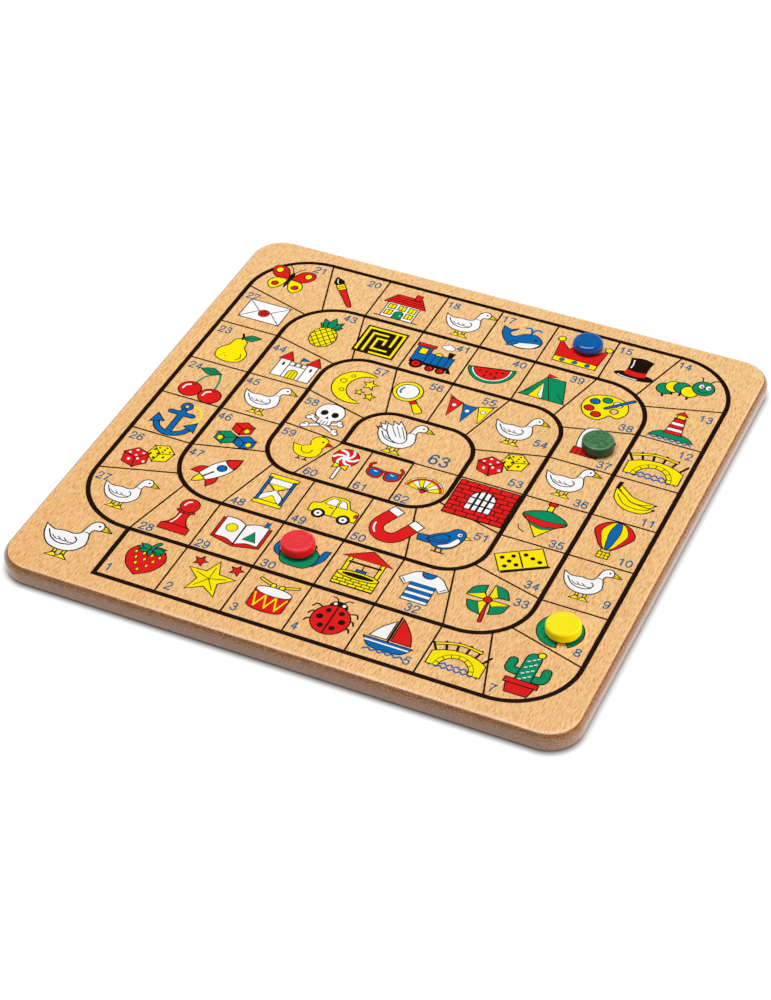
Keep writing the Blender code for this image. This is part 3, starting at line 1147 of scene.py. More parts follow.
def draw_strawberry(pen):
    pen.blob("red", *mirrored((0, -16, 1), (-9, -9), (-13, 1), (-9.5, 8.5), (0, 9)))
    for row, y in enumerate((4, -1, -6, -11)):
        half = 8.4 - 2.2 * row
        for index in range(4 - row):
            x = -half + 2 * half * index / max(1, 3 - row) if row < 3 else 0
            pen.oval("yellow", x, y, 0.75, 1.3, line=0.3)
    for angle in (180, 215, 150, 325, 30, 0, 270):
        x, y = on_circle(0, 0, 9.5, angle)
        pen.blob("green", *leaf_points((0, 9.5), (x, 9 + y * 0.6), 0.2))
    pen.tube("green", (0, 9.5), (0.6, 13), (2.8, 16), width=1.5)


def draw_sailboat(pen):
    pen.line((0, -7), (0, 17), width=1.4)
    pen.blob("red", (1.8, 15.5, 1), (1.8, -4.5, 1), (14.5, -4.5, 1), (10.5, 5))
    pen.blob("white", (-1.8, 12, 1), (-8.5, 4), (-12.5, -4.5, 1), (-1.8, -4.5, 1))
    pen.blob("blue", (-15.5, -7, 1), (16.5, -7, 1), (11, -13.5), (0, -14.5), (-10, -13.5))
    pen.line((-14.3, -9.2), (14.8, -9.2), width=1, ink="white")
    draw_waves(pen, -12, 15, -16.5)


def draw_star(pen):
    pen.poly("yellow", *star_points(0, -1, 16.5, 7.2, 5))
    for x, y in ((-12.5, 12), (13, 13)):
        pen.poly("red", *star_points(x, y, 4.2, 1.9, 5, 80))
    for angle in (90, 162, 234, 306, 18):
        pen.line((0, -1), on_circle(0, -1, 11, angle), width=0.4)


def draw_ladybird(pen):
    for side in (-1, 1):
        for y in (-8, -1, 6):
            pen.curve((9 * side, y), (13.5 * side, y + 1.5), (15.5 * side, y - 1.5), width=1)
        pen.curve((1.6 * side, 13), (3.6 * side, 16.4), (7 * side, 17), width=0.7)
    pen.dot("black", 0, 9, 6.4, 5.6)
    pen.oval("red", 0, -3, 12.4, 12.8)
    pen.line((0, 9), (0, -15.5), width=0.9)
    for _ in pen.sides():
        for x, y, radius in ((4.6, 4.6, 1.9), (7.6, -2.4, 2.3), (4, -9.6, 2)):
            pen.dot("black", x, y, radius)
        pen.dot("white", 3, 11.6, 1.2)


def draw_pear(pen):
    pen.blob("yellow", *mirrored((0, 11.5), (-4.4, 9), (-5.6, 2.5), (-10.5, -4.5), (-9, -13), (0, -16)))
    pen.curve((6.6, -5), (8, -9), (6, -12.6), width=0.5)
    pen.curve((0, 11), (-0.4, 14), (-2, 17), width=1.5)
    pen.blob("green", *leaf_points((0, 12.5), (11.5, 16.5), 0.24))
    pen.line((1, 12.9), (8.6, 15.5), width=0.4)
    for x, y in ((-5, -8), (-3, -10.5), (-6, -11)):
        pen.dot("black", x, y, 0.45)


def draw_butterfly(pen):
    for _ in pen.sides():
        pen.blob("red", (1.2, 2, 1), (6, 12), (14, 14), (16.5, 8), (11, 1))
        pen.blob("yellow", (1.2, 0, 1), (10, -1), (13, -8), (8, -13.5), (3, -8))
        pen.oval("yellow", 11.6, 9, 2.4, 2.9)
        pen.oval("red", 8, -7.4, 2.1)
        pen.curve((0.6, 9), (3, 13.5), (6, 16.5), width=0.6)
    pen.blob("black", *mirrored((0, 9.5), (-1.7, 6), (-1.4, -4), (0, -10.5)), line=0)


def draw_lily_pad(pen):
    pen.shape("green", [(0, -1), *along_arc(0, -1, 15.5, -50, 278)])
    for angle in range(-20, 280, 42):
        pen.line((0, -1), on_circle(0, -1, 12.5, angle), width=0.45)
    for angle in range(0, 360, 60):
        pen.blob("red", *leaf_points((2, 1), on_circle(2, 1, 7.5, angle), 0.26))
    pen.oval("yellow", 2, 1, 2.2)


def draw_hot_air_balloon(pen):
    for side in (-1, 1):
        pen.line((3.4 * side, -7), (2.8 * side, -13), width=0.5)
    pen.blob("red", *mirrored((-3.6, -8), (-9.6, 0), (-13.2, 8), (-8.5, 15.5), (-2.5, 18)))
    pen.blob("yellow", *mirrored((-2.4, -8), (-6.4, 0), (-8.6, 8), (-5.2, 15.5), (-1.6, 18)), line=0.4)
    pen.blob("blue", *mirrored((-1, -8), (-2.4, 0), (-3.2, 8), (-2, 15.5), (-0.6, 18)), line=0.4)
    pen.box("yellow", -3.6, -17.5, 3.6, -12.5)
    pen.line((-3.6, -15), (3.6, -15), width=0.4)
    for x in (-1.2, 1.2):
        pen.line((x, -17.5), (x, -12.5), width=0.4)


def draw_bananas(pen):
    for lift in (5, 0):
        pen.blob("yellow", (-14.5, 8 + lift, 1), (-12.5, -2 + lift), (-4, -9.5 + lift),
                 (8, -10 + lift), (15, -4 + lift, 1), (7, -3.4 + lift), (-1.5, -2 + lift), (-8, 3 + lift))
        pen.curve((-12, 2.6 + lift), (-5.5, -5 + lift), (4, -7.2 + lift), (12, -4.8 + lift), width=0.45)
        pen.poly("black", (13.2, -5.2 + lift), (16, -4.6 + lift), (15.2, -2.8 + lift), line=0)
    pen.poly("black", (-15.6, 7.4), (-12.8, 7.8), (-12.2, 15.6), (-15.2, 15.2), line=0)


def draw_lighthouse(pen):
    pen.blob("green", (-16, -15, 1), (-11, -9.5), (-3, -8), (6, -8.5), (13, -11), (17, -15, 1))
    base, width, rise = -9.5, 6.4, 3.7
    for step in range(5):
        low, high = width - 0.55 * step, width - 0.55 * (step + 1)
        y = base + rise * step
        pen.poly("white" if step % 2 else "red", (-low, y), (low, y), (high, y + rise), (-high, y + rise))
    pen.box("black", -5, 9, 5, 10.2, line=0)
    pen.box("yellow", -2.8, 10.2, 2.8, 14)
    pen.poly("red", (-4, 14), (4, 14), (0, 18))
    for side in (-1, 1):
        pen.line((5.5 * side, 11.6), (13 * side, 10.6), width=0.9, ink="yellow")
    draw_waves(pen, -17, 17, -17.2)


def draw_caterpillar(pen):
    rings = ((-14, -6.5), (-9, -2.5), (-3.5, -1.5), (2, -3.5))
    for x, y in rings:
        pen.line((x, y - 4), (x + 0.6, y - 8), width=1.5)
    for index, (x, y) in enumerate(rings):
        pen.oval("yellow" if index % 2 else "green", x, y, 5.4)
    for side in (-1, 1):
        pen.curve((9 + 2 * side, 9), (10 + 4 * side, 13.6), (11 + 6 * side, 14.6), width=0.7)
    pen.oval("green", 9.5, 3.5, 7)
    for x in (7.6, 12.4):
        pen.oval("white", x, 5.2, 1.8, 2.2, line=0.35)
        pen.dot("black", x + 0.5, 5, 0.9)
    pen.curve((6.6, 0.6), (9.8, -1), (13, 0.6), width=0.6)


def draw_drum(pen):
    for _ in pen.sides():
        pen.tube("yellow", (3, 10.5), (13, 14), width=1.2)
        pen.oval("yellow", 3, 10.5, 1.6)
    rim = [on_circle(0, 0, 1, angle) for angle in range(180, 361, 20)]
    pen.shape("red", [(-12, 5), *[(12 * x, 3.4 * y - 10) for x, y in rim], (12, 5)])
    zigzag = [(-11 + 3.67 * step, -10.5 if step % 2 else 1) for step in range(7)]
    for start, end in zip(zigzag, zigzag[1:]):
        pen.line(start, end, width=0.9, ink="yellow")
    pen.oval("white", 0, 5, 12, 3.6)


def draw_crown(pen):
    pen.poly("red", *mirrored((-15, -9), (-17, 10), (-8.5, 1), (0, 13)))
    pen.box("yellow", -15, -13, 15, -8.5)
    for x, y in ((-17, 11), (0, 14), (17, 11)):
        pen.oval("yellow", x, y, 2.2)
    for x in (-9, 0, 9):
        pen.oval("blue", x, -10.7, 1.4, line=0.35)


def draw_whale(pen):
    pen.blob("blue", (-16, 9, 1), (-14.5, 1), (-8, -7.5), (3, -10.5), (13, -6.5), (15.5, 0.5), (10, 6.5),
             (2, 6), (-5, 0.5), (-9, 1.5), (-10, 4.5), (-6, 9.5, 1), (-11, 7))
    pen.blob("white", (15, -2, 1), (9, -3), (-1, -6), (-6, -8.2), (2, -10.2), (11, -7.8), line=0.35)
    pen.dot("black", 10.4, 1.8, 1)
    pen.blob("blue", (1, -4), (-3, -9), (-7, -10.5), (-3.5, -5), line=0.4)
    for side in (-1, 1):
        pen.curve((5, 8), (5 + 2 * side, 13.5), (5 + 6 * side, 13), width=1.3, ink="blue")


def draw_paintbrush(pen):
    pen.turn(38)
    pen.blob("red", *mirrored((-1.2, -19), (-1.9, -8), (-2.4, 2, 1)))
    pen.box("yellow", -2.8, 2, 2.8, 8)
    for y in (4, 6):
        pen.line((-2.8, y), (2.8, y), width=0.4)
    pen.blob("black", *mirrored((-2.8, 8, 1), (-4, 12), (0, 18.5, 1)), line=0)
    pen.curve((-1, 10), (-1, 12.5), (0, 15), width=0.5, ink="white")


def draw_top_hat(pen):
    pen.blob("black", *mirrored((-9, -8, 1), (-8, 2), (-9.5, 13, 1), (0, 15)), line=0)
    pen.dot("black", 0, -9, 16.5, 4.6)
    pen.blob("red", *mirrored((0, -9.2), (-8.8, -7.6, 1), (-8.3, -2, 1), (0, -3.4)), line=0)
    pen.curve((-12.5, -10.8), (-5, -12.3), (3, -12.4), width=0.8, ink="white")
    pen.curve((-6.2, 10.6), (-5.4, 4.6), (-5.8, 0.6), width=0.9, ink="white")


def draw_cactus(pen):
    pen.tube("green", (-2, 0), (-10, 0.5), (-10.5, 7), width=4.6)
    pen.tube("green", (2, -3), (10, -2), (10.5, 5), width=4.6)
    pen.tube("green", (0, -9), (0, 12), width=8.5)
    for x in (-2.2, 0.2, 2.4):
        for y in (-4, 1, 6, 11):
            pen.line((x - 0.6, y + 0.8 * x), (x + 0.6, y + 0.8 * x + 0.7), width=0.5, ink="white")
    pen.poly("red", (-8.5, -8), (8.5, -8), (6.4, -17), (-6.4, -17))
    pen.box("red", -9.6, -9.6, 9.6, -6.6)
    pen.oval("yellow", 3, 16.5, 1.9)


def draw_cherries(pen):
    pen.curve((-7, -2), (-4, 8), (4, 15), width=1.2, ink="green")
    pen.curve((8, -4), (7, 7), (4, 15), width=1.2, ink="green")
    pen.blob("green", *leaf_points((4, 14.5), (-10, 15.5), 0.22))
    pen.line((2, 14.6), (-7, 15.3), width=0.4)
    for x, y in ((-7.5, -7), (8, -9)):
        pen.oval("red", x, y, 7.4, 7)
        pen.curve((x - 4.6, y - 1), (x - 4, y + 2.6), (x - 1.4, y + 4.4), width=1.1, ink="white")
        pen.curve((x - 1.6, y + 5.8), (x, y + 4.8), (x + 1.8, y + 5.8), width=0.45)


def draw_envelope(pen):
    pen.box("white", -15.5, -10.5, 15.5, 10.5)
    for _ in pen.sides():
        pen.line((15.5, -10.5), (4.6, 0.4), width=0.5)
    pen.poly("white", (-15.5, 10.5), (15.5, 10.5), (0, -3))
    pen.oval("red", 0, -1.5, 3.6)
    pen.poly("red", *star_points(0, -1.5, 2.4, 1, 5), line=0.3)


def draw_anchor(pen):
    pen.curve((1, 15), (9, 14), (13, 6), (10, -2), (14, -8), width=1.2, ink="yellow")
    pen.oval("blue", 0, 13.5, 3.4)
    pen.oval("bare", 0, 13.5, 1.3)
    pen.tube("blue", (0, 9), (0, -14), width=3)
    pen.tube("blue", (-7.5, 6), (7.5, 6), width=2.6)
    pen.tube("blue", *mirrored((-12, -4), (-8.5, -11), (0, -14.6)), width=3)
    for _ in pen.sides():
        pen.poly("blue", (13.4, 0.5), (7.6, -4.4), (14.8, -7.6))
    pen.stroke("blue", [(0, 9), (0, -13)], 3)


def draw_pawn(pen):
    pen.blob("red", *mirrored((-3, 4), (-3.4, -2), (-6, -8), (-8.4, -11.5)))
    pen.blob("red", *mirrored((-8, -10.5), (-10, -13), (-10, -16.2, 1)))
    pen.oval("red", 0, 4.6, 6, 1.7)
    pen.oval("red", 0, 10.6, 6.2)
    pen.curve((-3.6, 10), (-2.8, 13), (-0.6, 14.4), width=1, ink="white")
    pen.curve((-2, 1), (-2.6, -4), (-4.4, -8.6), width=0.9, ink="white")


def draw_book(pen):
    pen.poly("red", *mirrored((0, -13), (-17, -9), (-17, 10), (0, 6)))
    for _ in pen.sides():
        pen.blob("white", (0, -11, 1), (7, -7.6), (15, -7.5, 1), (15, 11.5, 1), (7, 11.4), (0, 8, 1))
    pen.line((0, -11), (0, 8), width=0.6)
    pen.oval("yellow", -7.8, 2.8, 3.6, 3.6, line=0.4)
    pen.poly("green", (4, -4.5), (12, -4.5), (8, 4), line=0.4)
    pen.poly("blue", (11.5, 11.6), (14, 11.6), (14, 16.5), (12.7, 15), (11.5, 16.5), line=0.35)


def draw_teapot(pen):
    pen.tube("blue", (-8, 6), (-16, 6), (-17, -3), (-9, -8), width=2.6)
    pen.blob("blue", (8, -4, 1), (13, -1), (15, 7), (18.5, 8, 1), (17, -2), (11, -10))
    pen.blob("green", *mirrored((0, 8.5), (-11, 4), (-13, -4), (-9, -12.5), (0, -14)))
    pen.oval("blue", 0, 8, 7.4, 2)
    pen.blob("blue", *mirrored((-7, 8.4), (-4, 12), (0, 13)))
    pen.oval("yellow", 0, 14.5, 1.9)


def draw_shirt(pen):
    pen.poly("white", *mirrored((-5, 14), (-10, 12), (-17.5, 3.5), (-12.5, -1), (-9, 3), (-9, -15)))
    for y in (-11, -5, 1):
        pen.box("blue", -8.9, y - 1.3, 8.9, y + 1.3, line=0.3)
    pen.shape("blue", along_arc(0, 14, 4.6, 180, 360))
    for side in (-1, 1):
        pen.line((12.5 * side, 0.8), (15.9 * side, 4), width=0.5)


def draw_pinwheel(pen):
    pen.tube("red", (0, 0), (2.5, -17), width=1.6)
    x, y = pen.frame.translation.xy
    for quarter in range(4):
        pen.place(x, y + 3, 1, 90 * quarter)
        pen.blob("green", (0, 0, 1), (0, 14, 1), (8, 12), (12, 5, 1), (5, 4))
        pen.poly("yellow", (0, 14), (5, 4.4), (0, 0), line=0.4)
    pen.place(x, y + 3)
    pen.oval("red", 0, 0, 2.3)


def draw_domino(pen):
    pen.turn(32)
    pen.box("yellow", -15.5, -8, 15.5, 8)
    pen.line((0, -7), (0, 7), width=0.9)
    for x, y in ((-11.5, 4.2), (-4, 4.2), (-11.5, -4.2), (-4, -4.2), (-7.75, 0), (4, 4.2), (7.75, 0),
                 (11.5, -4.2)):
        pen.dot("black", x, y, 1.6)
    pen.line((-14.5, -9.6), (16.5, -9.6), width=1.5)


def draw_spinning_top(pen):
    pen.box("yellow", -1.4, 8, 1.4, 17)
    pen.oval("red", 0, 17, 2.4, 1.4)
    pen.blob("green", *mirrored((-3, 9), (-12, 5), (-14, 1), (-8, -4), (0, -15.5, 1)))
    pen.blob("red", *mirrored((0, 0), (-13.6, 2, 1), (-10, -2.6, 1), (0, -5)), line=0.4)
    pen.blob("yellow", *mirrored((0, -8), (-6.5, -6, 1), (0, -15.5, 1)), line=0.4)
    pen.curve((-8, -14), (-12, -12), (-13.5, -8.5), width=0.5)


def draw_mitten(pen):
    pen.blob("white", (-8, -8, 1), (-9.5, 3), (-8, 12.5), (-1, 16), (6, 12), (6.8, 3), (11, 7), (15, 5),
             (12, -2), (7, -8, 1))
    pen.box("red", -9.5, -14.5, 8, -8)
    for x in (-6, -2.5, 1, 4.5):
        pen.line((x, -14), (x, -8.5), width=0.45)
    pen.poly("red", *star_points(-1.5, 4, 5, 2, 6))


def draw_palette(pen):
    pen.blob("yellow", (-15, -2), (-12, 9), (0, 13.5), (12, 10.5), (16, 1), (12, -7), (6, -6),
             (3.4, -9.5), (-1, -13.5), (-10, -11))
    pen.oval("bare", 7.5, -1, 2.4)
    for ink, x, y in (("red", -9.5, -3.5), ("blue", -8, 4.5), ("green", -0.5, 8.6),
                      ("white", 7.6, 6.8), ("red", -3, -8.4)):
        pen.oval(ink, x, y, 3, 2.6)
    pen.tube("blue", (1, 0), (16.5, 15), width=1.4)


def draw_tent(pen):
    pen.poly("green", (-16, -12), (-4, 13), (10, 13), (17, -12))
    pen.poly("green", (-16, -12), (-4, 13), (6, -12))
    pen.poly("yellow", (-9.5, -12), (-4.2, 6), (0.6, -12))
    pen.poly("white", (-4.2, 6), (0.6, -12), (-3.2, -9), line=0.4)
    pen.line((-4, 13), (-4, 17), width=0.8)
    pen.poly("red", (-4, 17.4), (2.5, 15.6), (-4, 13.8), line=0.4)
    for x in (-18, 19):
        pen.line((x, -13), (0.5 * x, -3), width=0.4)


def draw_watermelon(pen):
    pen.turn(12)
    pen.shape("green", along_arc(0, 6, 16.5, 180, 360))
    pen.shape("white", along_arc(0, 6, 14.2, 180, 360), line=0)
    pen.shape("red", along_arc(0, 6, 12.8, 180, 360), line=0.35)
    for angle, reach in ((205, 9), (230, 5.5), (245, 10), (270, 6.5), (290, 10), (312, 5.5), (335, 9)):
        x, y = on_circle(0, 6, reach, angle)
        pen.dot("black", x, y, 0.7, 1.3, turn=angle + 90)
    pen.line((-16.5, 6), (16.5, 6), width=0.7)


def draw_wheel(pen, x, y, radius, ink):
    pen.dot("black", x, y, radius)
    pen.dot(ink, x, y, radius * 0.58)
    pen.dot("black", x, y, radius * 0.2)


def draw_locomotive(pen):
    pen.box("blue", -15.5, -7, -5.5, 11)
    pen.box("yellow", -13, 2, -8, 8)
    pen.box("red", -17, 10.5, -4, 13)
    pen.box("blue", -5.5, -7, 13, 4)
    for x in (-0.5, 4.5, 9.5):
        pen.line((x, -7), (x, 4), width=0.5)
    pen.poly("black", (8, 4), (11, 4), (12.2, 10.5), (6.8, 10.5), line=0)
    pen.shape("yellow", along_arc(1.5, 4, 2.4, 0, 180))
    pen.poly("black", (13, -6), (17.5, -12.5), (13, -12.5), line=0)
    pen.box("black", -16, -10, 13.5, -7, line=0)
    for x, radius in ((-10, 5), (1, 3.6), (9, 3.6)):
        draw_wheel(pen, x, radius - 15.5, radius, "red")
    draw_cloud(pen, 4.5, 15, 0.55)


def draw_pineapple(pen):
    for angle, reach in ((150, 9), (30, 9), (125, 12), (55, 12), (90, 13)):
        pen.blob("green", *leaf_points((0, 4), on_circle(0, 5, reach, angle), 0.2))
    pen.oval("yellow", 0, -5, 9.4, 11.4)
    for offset in (-0.78, -0.4, 0, 0.4, 0.78):
        reach = math.sqrt((1 - offset * offset) / 2)
        shift = offset / math.sqrt(2)
        for side in (-1, 1):
            foot = (9.4 * side * (shift - reach), -5 - 11.4 * (shift + reach))
            head = (9.4 * side * (shift + reach), -5 - 11.4 * (shift - reach))
            pen.line(foot, head, width=0.5)


def draw_castle(pen):
    pen.box("white", -9, -15, 9, 1)
    for x in (-11.5, 11.5):
        pen.box("white", x - 4, -15, x + 4, 6)
        pen.poly("red", (x - 5.4, 6), (x + 5.4, 6), (x, 15.5))
        pen.box("black", x - 0.9, -2, x + 0.9, 2, line=0)
    for x in (-5, 0, 5):
        pen.box("white", x - 1.6, 0.5, x + 1.6, 4)
    pen.shape("yellow", [(-3.6, -15), (3.6, -15), *along_arc(0, -8.5, 3.6, 0, 180)])
    for x in (-1.2, 1.2):
        pen.line((x, -15), (x, -5.6), width=0.45)
    pen.line((0, 4), (0, 12), width=0.6)
    pen.poly("blue", (0, 12), (6, 10.2), (0, 8.4), line=0.4)


def draw_cube(pen, ink, x, y, size):
    half = size * 0.5
    pen.poly(ink, (x - size, y), (x, y - half), (x, y - half - size), (x - size, y - size))
    pen.poly(ink, (x, y - half), (x + size, y), (x + size, y - size), (x, y - half - size))
    pen.poly(ink, (x - size, y), (x, y - half), (x + size, y), (x, y + half))


def draw_blocks(pen):
    draw_cube(pen, "green", -8, -4, 7)
    draw_cube(pen, "blue", 7.5, -4, 7)
    draw_cube(pen, "red", -0.4, 9.5, 7)
    for x, y in ((-11.6, -9.2), (11, -9.2), (3.2, 4.2)):
        pen.oval("yellow", x, y, 1.9, 2.3, line=0.35)


def draw_rocket(pen):
    pen.turn(-35)
    pen.blob("yellow", *mirrored((-3, -11, 1), (-2, -16), (0, -19, 1)))
    for _ in pen.sides():
        pen.blob("red", (4.5, -2, 1), (9.5, -7), (9.8, -14, 1), (4, -10))
    pen.blob("white", *mirrored((0, 19, 1), (-5, 11), (-6.4, 0), (-4.2, -11, 1)))
    pen.blob("red", *mirrored((0, 19, 1), (-3.6, 13.5), (-4.6, 9.8, 1), (0, 9)))
    pen.oval("blue", 0, 3.6, 2.9)
    pen.line((0, -3), (0, -11), width=1.2)


def draw_hourglass(pen):
    pen.blob("white", *mirrored((-8, 13, 1), (-7.4, 6), (-1.2, 0), (-7.4, -6), (-8, -13, 1)))
    pen.blob("yellow", *mirrored((-6.4, 6, 1), (-0.6, 0.4, 1)), line=0.3)
    pen.blob("yellow", *mirrored((-7, -12.6, 1), (-3, -9), (0, -5.6)), line=0.3)
    for y in (-14.6, 14.6):
        pen.box("yellow", -11, y - 1.7, 11, y + 1.7)
    for x in (-9.6, 9.6):
        pen.tube("blue", (x, -12.6), (x, 12.6), width=1.3)


def draw_car(pen):
    pen.blob("yellow", (-16.5, -9, 1), (-16.5, -1.5), (-11, 1), (-7, 8.5), (-2, 9.8), (5, 9.4), (9.5, 2),
             (16, 0), (17, -4.5), (17, -9, 1))
    pen.blob("white", (-8.4, 1.4, 1), (-5.6, 7), (-0.8, 7.8, 1), (-0.8, 1.4, 1), line=0.4)
    pen.blob("white", (1, 1.4, 1), (1, 7.8, 1), (4.2, 7.2), (7.4, 1.4, 1), line=0.4)
    pen.line((0.1, 1), (0.1, -8.6), width=0.45)
    pen.line((-4, -1.4), (-2, -1.4), width=0.8)
    pen.oval("red", 15.8, -3, 1.1, 1.5, line=0.35)
    for x in (-9, 9.4):
        draw_wheel(pen, x, -9.5, 4.8, "white")


def draw_magnet(pen):
    pen.turn(-25)
    outer, inner = along_arc(0, -2, 14, 360, 180), along_arc(0, -2, 5.6, 180, 360)
    pen.shape("red", [(14, 14), *outer, (-14, 14), (-5.6, 14), *inner, (5.6, 14)])
    for x in (-9.8, 9.8):
        pen.box("white", x - 4.2, 8.5, x + 4.2, 14)
    pen.stroke("white", along_arc(0, -2, 11.4, 200, 245), 1.2)


def draw_bird(pen):
    pen.blob("blue", (-8, -2, 1), (-17.5, -3, 1), (-16, -8.5, 1), (-6, -8))
    pen.poly("yellow", (12, 6.8), (18, 5), (12, 3))
    for x in (-1, 3):
        pen.line((x, -9), (x + 0.6, -15), width=0.9)
        pen.line((x - 2, -15.4), (x + 3.4, -15.4), width=0.9)
    pen.blob("blue", (13.4, 5), (11, 10.6), (5, 11), (1, 6), (-5, 2), (-9.5, -3), (-5, -9.4), (3, -11),
             (10, -6))
    pen.blob("white", (11.6, 0), (9, -6), (3, -9.6), (-1, -9.2), (5, -5), (9, 2), line=0.35)
    pen.blob("blue", (3, 2.6, 1), (-3, 1.6), (-10, -6, 1), (-1, -5.6), (3.4, -1.6))
    pen.curve((-7, -4.4), (-2, -3.8), (1.4, -1.6), width=0.45)
    pen.oval("white", 9.2, 6.6, 1.7, line=0.3)
    pen.dot("black", 9.6, 6.6, 0.8)


def draw_bunting(pen):
    pen.curve(*mirrored((-19, 14), (-9, 8.5), (0, 7)), width=0.9)
    for ink, x, y, lean in (("red", -12, 9.8, 0.9), ("blue", 0, 6.8, 0), ("yellow", 12, 9.8, -0.9)):
        pen.poly(ink, (x - 5.2, y + 1.6 * lean), (x + 5.2, y - 1.6 * lean), (x - lean, y - 20))
        pen.oval("white", x, y - 6.2, 1.7, line=0.35)


def draw_magnifier(pen):
    pen.turn(40)
    pen.blob("yellow", *mirrored((-1.2, -4), (-1.7, -9), (-2.5, -18)))
    pen.box("red", -2, -8, 2, -5)
    pen.oval("yellow", 0, 6, 10.4)
    pen.oval("white", 0, 6, 7.6)
    pen.stroke("blue", along_arc(0, 6, 5.2, 100, 175), 1.4)


def draw_moon(pen):
    pen.shape("yellow", [*along_arc(0, 0, 16.5, 58, 302), *along_arc(7.2, 0, 14.1, 277, 83)])
    for x, y, size in ((7, 5.5, 4.6), (11.5, -6, 3.2), (3.4, -4, 2.4)):
        pen.poly("yellow", *star_points(x, y, size, size * 0.42, 5))
    for x, y, size in ((-11, 3, 1.8), (-8.5, -6, 1.3), (-7, 10, 1.1)):
        pen.oval("yellow", x, y, size, line=0.4)


def draw_chick(pen):
    for x in (-3, 3):
        pen.line((x, -10), (x, -15), width=1)
        for toe in (-2, 0, 2):
            pen.line((x, -14.6), (x + toe, -16.6), width=0.7)
    pen.blob("yellow", (-13.5, 0, 1), (-9, -9), (0, -12.5), (9, -9), (11, -1), (7, 5), (2, 5), (-6, -0.5))
    pen.oval("yellow", 5.5, 8.5, 7)
    pen.blob("yellow", (11, -1), (9, -9), (0, -12), (-8, -8.5), (-7, -2), (2, 4.5), (7, 5), line=0)
    pen.poly("red", (12, 9.8), (17, 7.8), (11.8, 6.2))
    pen.dot("black", 7.8, 10, 1)
    pen.curve((-6, -2), (-3, -7), (2.4, -7), (4, -2.6))
    for lean in (-1.6, 0.4, 2.4):
        pen.curve((5, 15.4), (5 + lean * 0.6, 17), (5 + lean, 18), width=0.5)


def draw_lollipop(pen):
    pen.box("white", -1, -19, 1, -2)
    pen.oval("red", 0, 6, 9.6)
    for turn in range(0, 360, 60):
        sweep = [on_circle(0, 6, 9.3 * step / 5, turn + 14 * step) for step in range(6)]
        pen.curve(*sweep, width=1.9, ink="white")
    for _ in pen.sides():
        pen.poly("yellow", (0, -4.2), (5, -1.8), (5, -6.6))


def draw_glasses(pen):
    for _ in pen.sides():
        pen.tube("red", (12.6, 3), (14, 8), (11.5, 11), width=1.3)
        pen.blob("red", (1.4, 3.4), (2.4, -4.4), (8, -5.6), (13.4, -2), (13.6, 4.4), (7, 5.4))
        pen.blob("blue", (3, 2.6), (3.8, -3), (8, -3.8), (11.8, -1.2), (12, 3), (7, 3.8), line=0.35)
        pen.line((6, 1.8), (8.4, 1.8), width=0.7, ink="white")
    pen.tube("red", (-2, 2.8), (0, 4), (2, 2.8), width=1.1)


def draw_fan(pen):
    for step in range(7):
        start, end = 168 - 22 * step, 146 - 22 * step
        pen.shape("white" if step % 2 else "yellow",
                  [*along_arc(0, -9, 6, start, end), *along_arc(0, -9, 21, end, start)])
    pen.shape("red", [*along_arc(0, -9, 17.4, 168, 14), *along_arc(0, -9, 19.4, 14, 168)], line=0.3)
    pen.oval("red", 0, -9, 2.4)
    for angle in range(168, 13, -22):
        pen.line(on_circle(0, -9, 2, angle), on_circle(0, -9, 6.5, angle), width=0.9)


# Spaces and numbers


# Strokes of each digit, from the foot of its box at the left
DIGITS = {
    "0": [[(2.5, 7.5), (0.9, 6.2), (0.55, 4), (0.9, 1.8), (2.5, 0.5)],
          [(2.5, 7.5), (4.1, 6.2), (4.45, 4), (4.1, 1.8), (2.5, 0.5)]],
    "1": [[(1.1, 5.9), (2.2, 6.5), (2.9, 7.5)], [(2.9, 7.5), (2.9, 0.5)]],
    "2": [[(0.7, 5.4), (1.2, 7), (2.6, 7.5), (4, 6.8), (4.3, 5.4), (3.4, 3.7), (1.6, 2), (0.6, 0.5)],
          [(0.6, 0.5), (4.5, 0.5)]],
    "3": [[(0.8, 5.9), (1.4, 7.2), (2.6, 7.5), (4, 6.6), (3.8, 5), (2.2, 4.25)],
          [(2.2, 4.25), (4, 3.5), (4.3, 1.8), (3.2, 0.6), (1.6, 0.6), (0.7, 2)]],
    "4": [[(3.4, 0.5), (3.4, 7.4)], [(3.4, 7.4), (0.6, 2.5)], [(0.6, 2.5), (4.7, 2.5)]],
    "5": [[(4.2, 7.4), (1.4, 7.4)], [(1.4, 7.4), (0.9, 4.1)],
          [(0.9, 4.1), (2.4, 4.9), (4, 4.2), (4.4, 2.7), (3.8, 1.1), (2.3, 0.5), (1, 1.1), (0.6, 2.1)]],
    "6": [[(4.2, 6.3), (3.4, 7.3), (2.2, 7.4), (1, 6), (0.6, 3.4), (0.95, 1.6), (2.4, 0.5)],
          [(2.4, 0.5), (3.9, 1.1), (4.4, 2.7), (3.8, 4.2), (2.4, 4.8), (1.2, 4.1), (0.7, 2.9)]],
    "7": [[(0.5, 7.4), (4.5, 7.4)], [(4.5, 7.4), (3, 5), (2.2, 2.6), (1.9, 0.5)]],
    "8": [[(2.5, 7.5), (1.1, 6.9), (0.95, 5.4), (2.5, 4.3)],
          [(2.5, 7.5), (3.9, 6.9), (4.05, 5.4), (2.5, 4.3)],
          [(2.5, 4.3), (0.8, 3.3), (0.65, 1.6), (2.5, 0.5)],
          [(2.5, 4.3), (4.2, 3.3), (4.35, 1.6), (2.5, 0.5)]],
}
DIGIT_BOX = (5, 8)
DIGIT_STEP = 5.7
DIGIT_STROKE = 0.9
# A nine is a six turned round
DIGITS["9"] = [[(DIGIT_BOX[0] - x, DIGIT_BOX[1] - y) for x, y in stroke] for stroke in DIGITS["6"]]

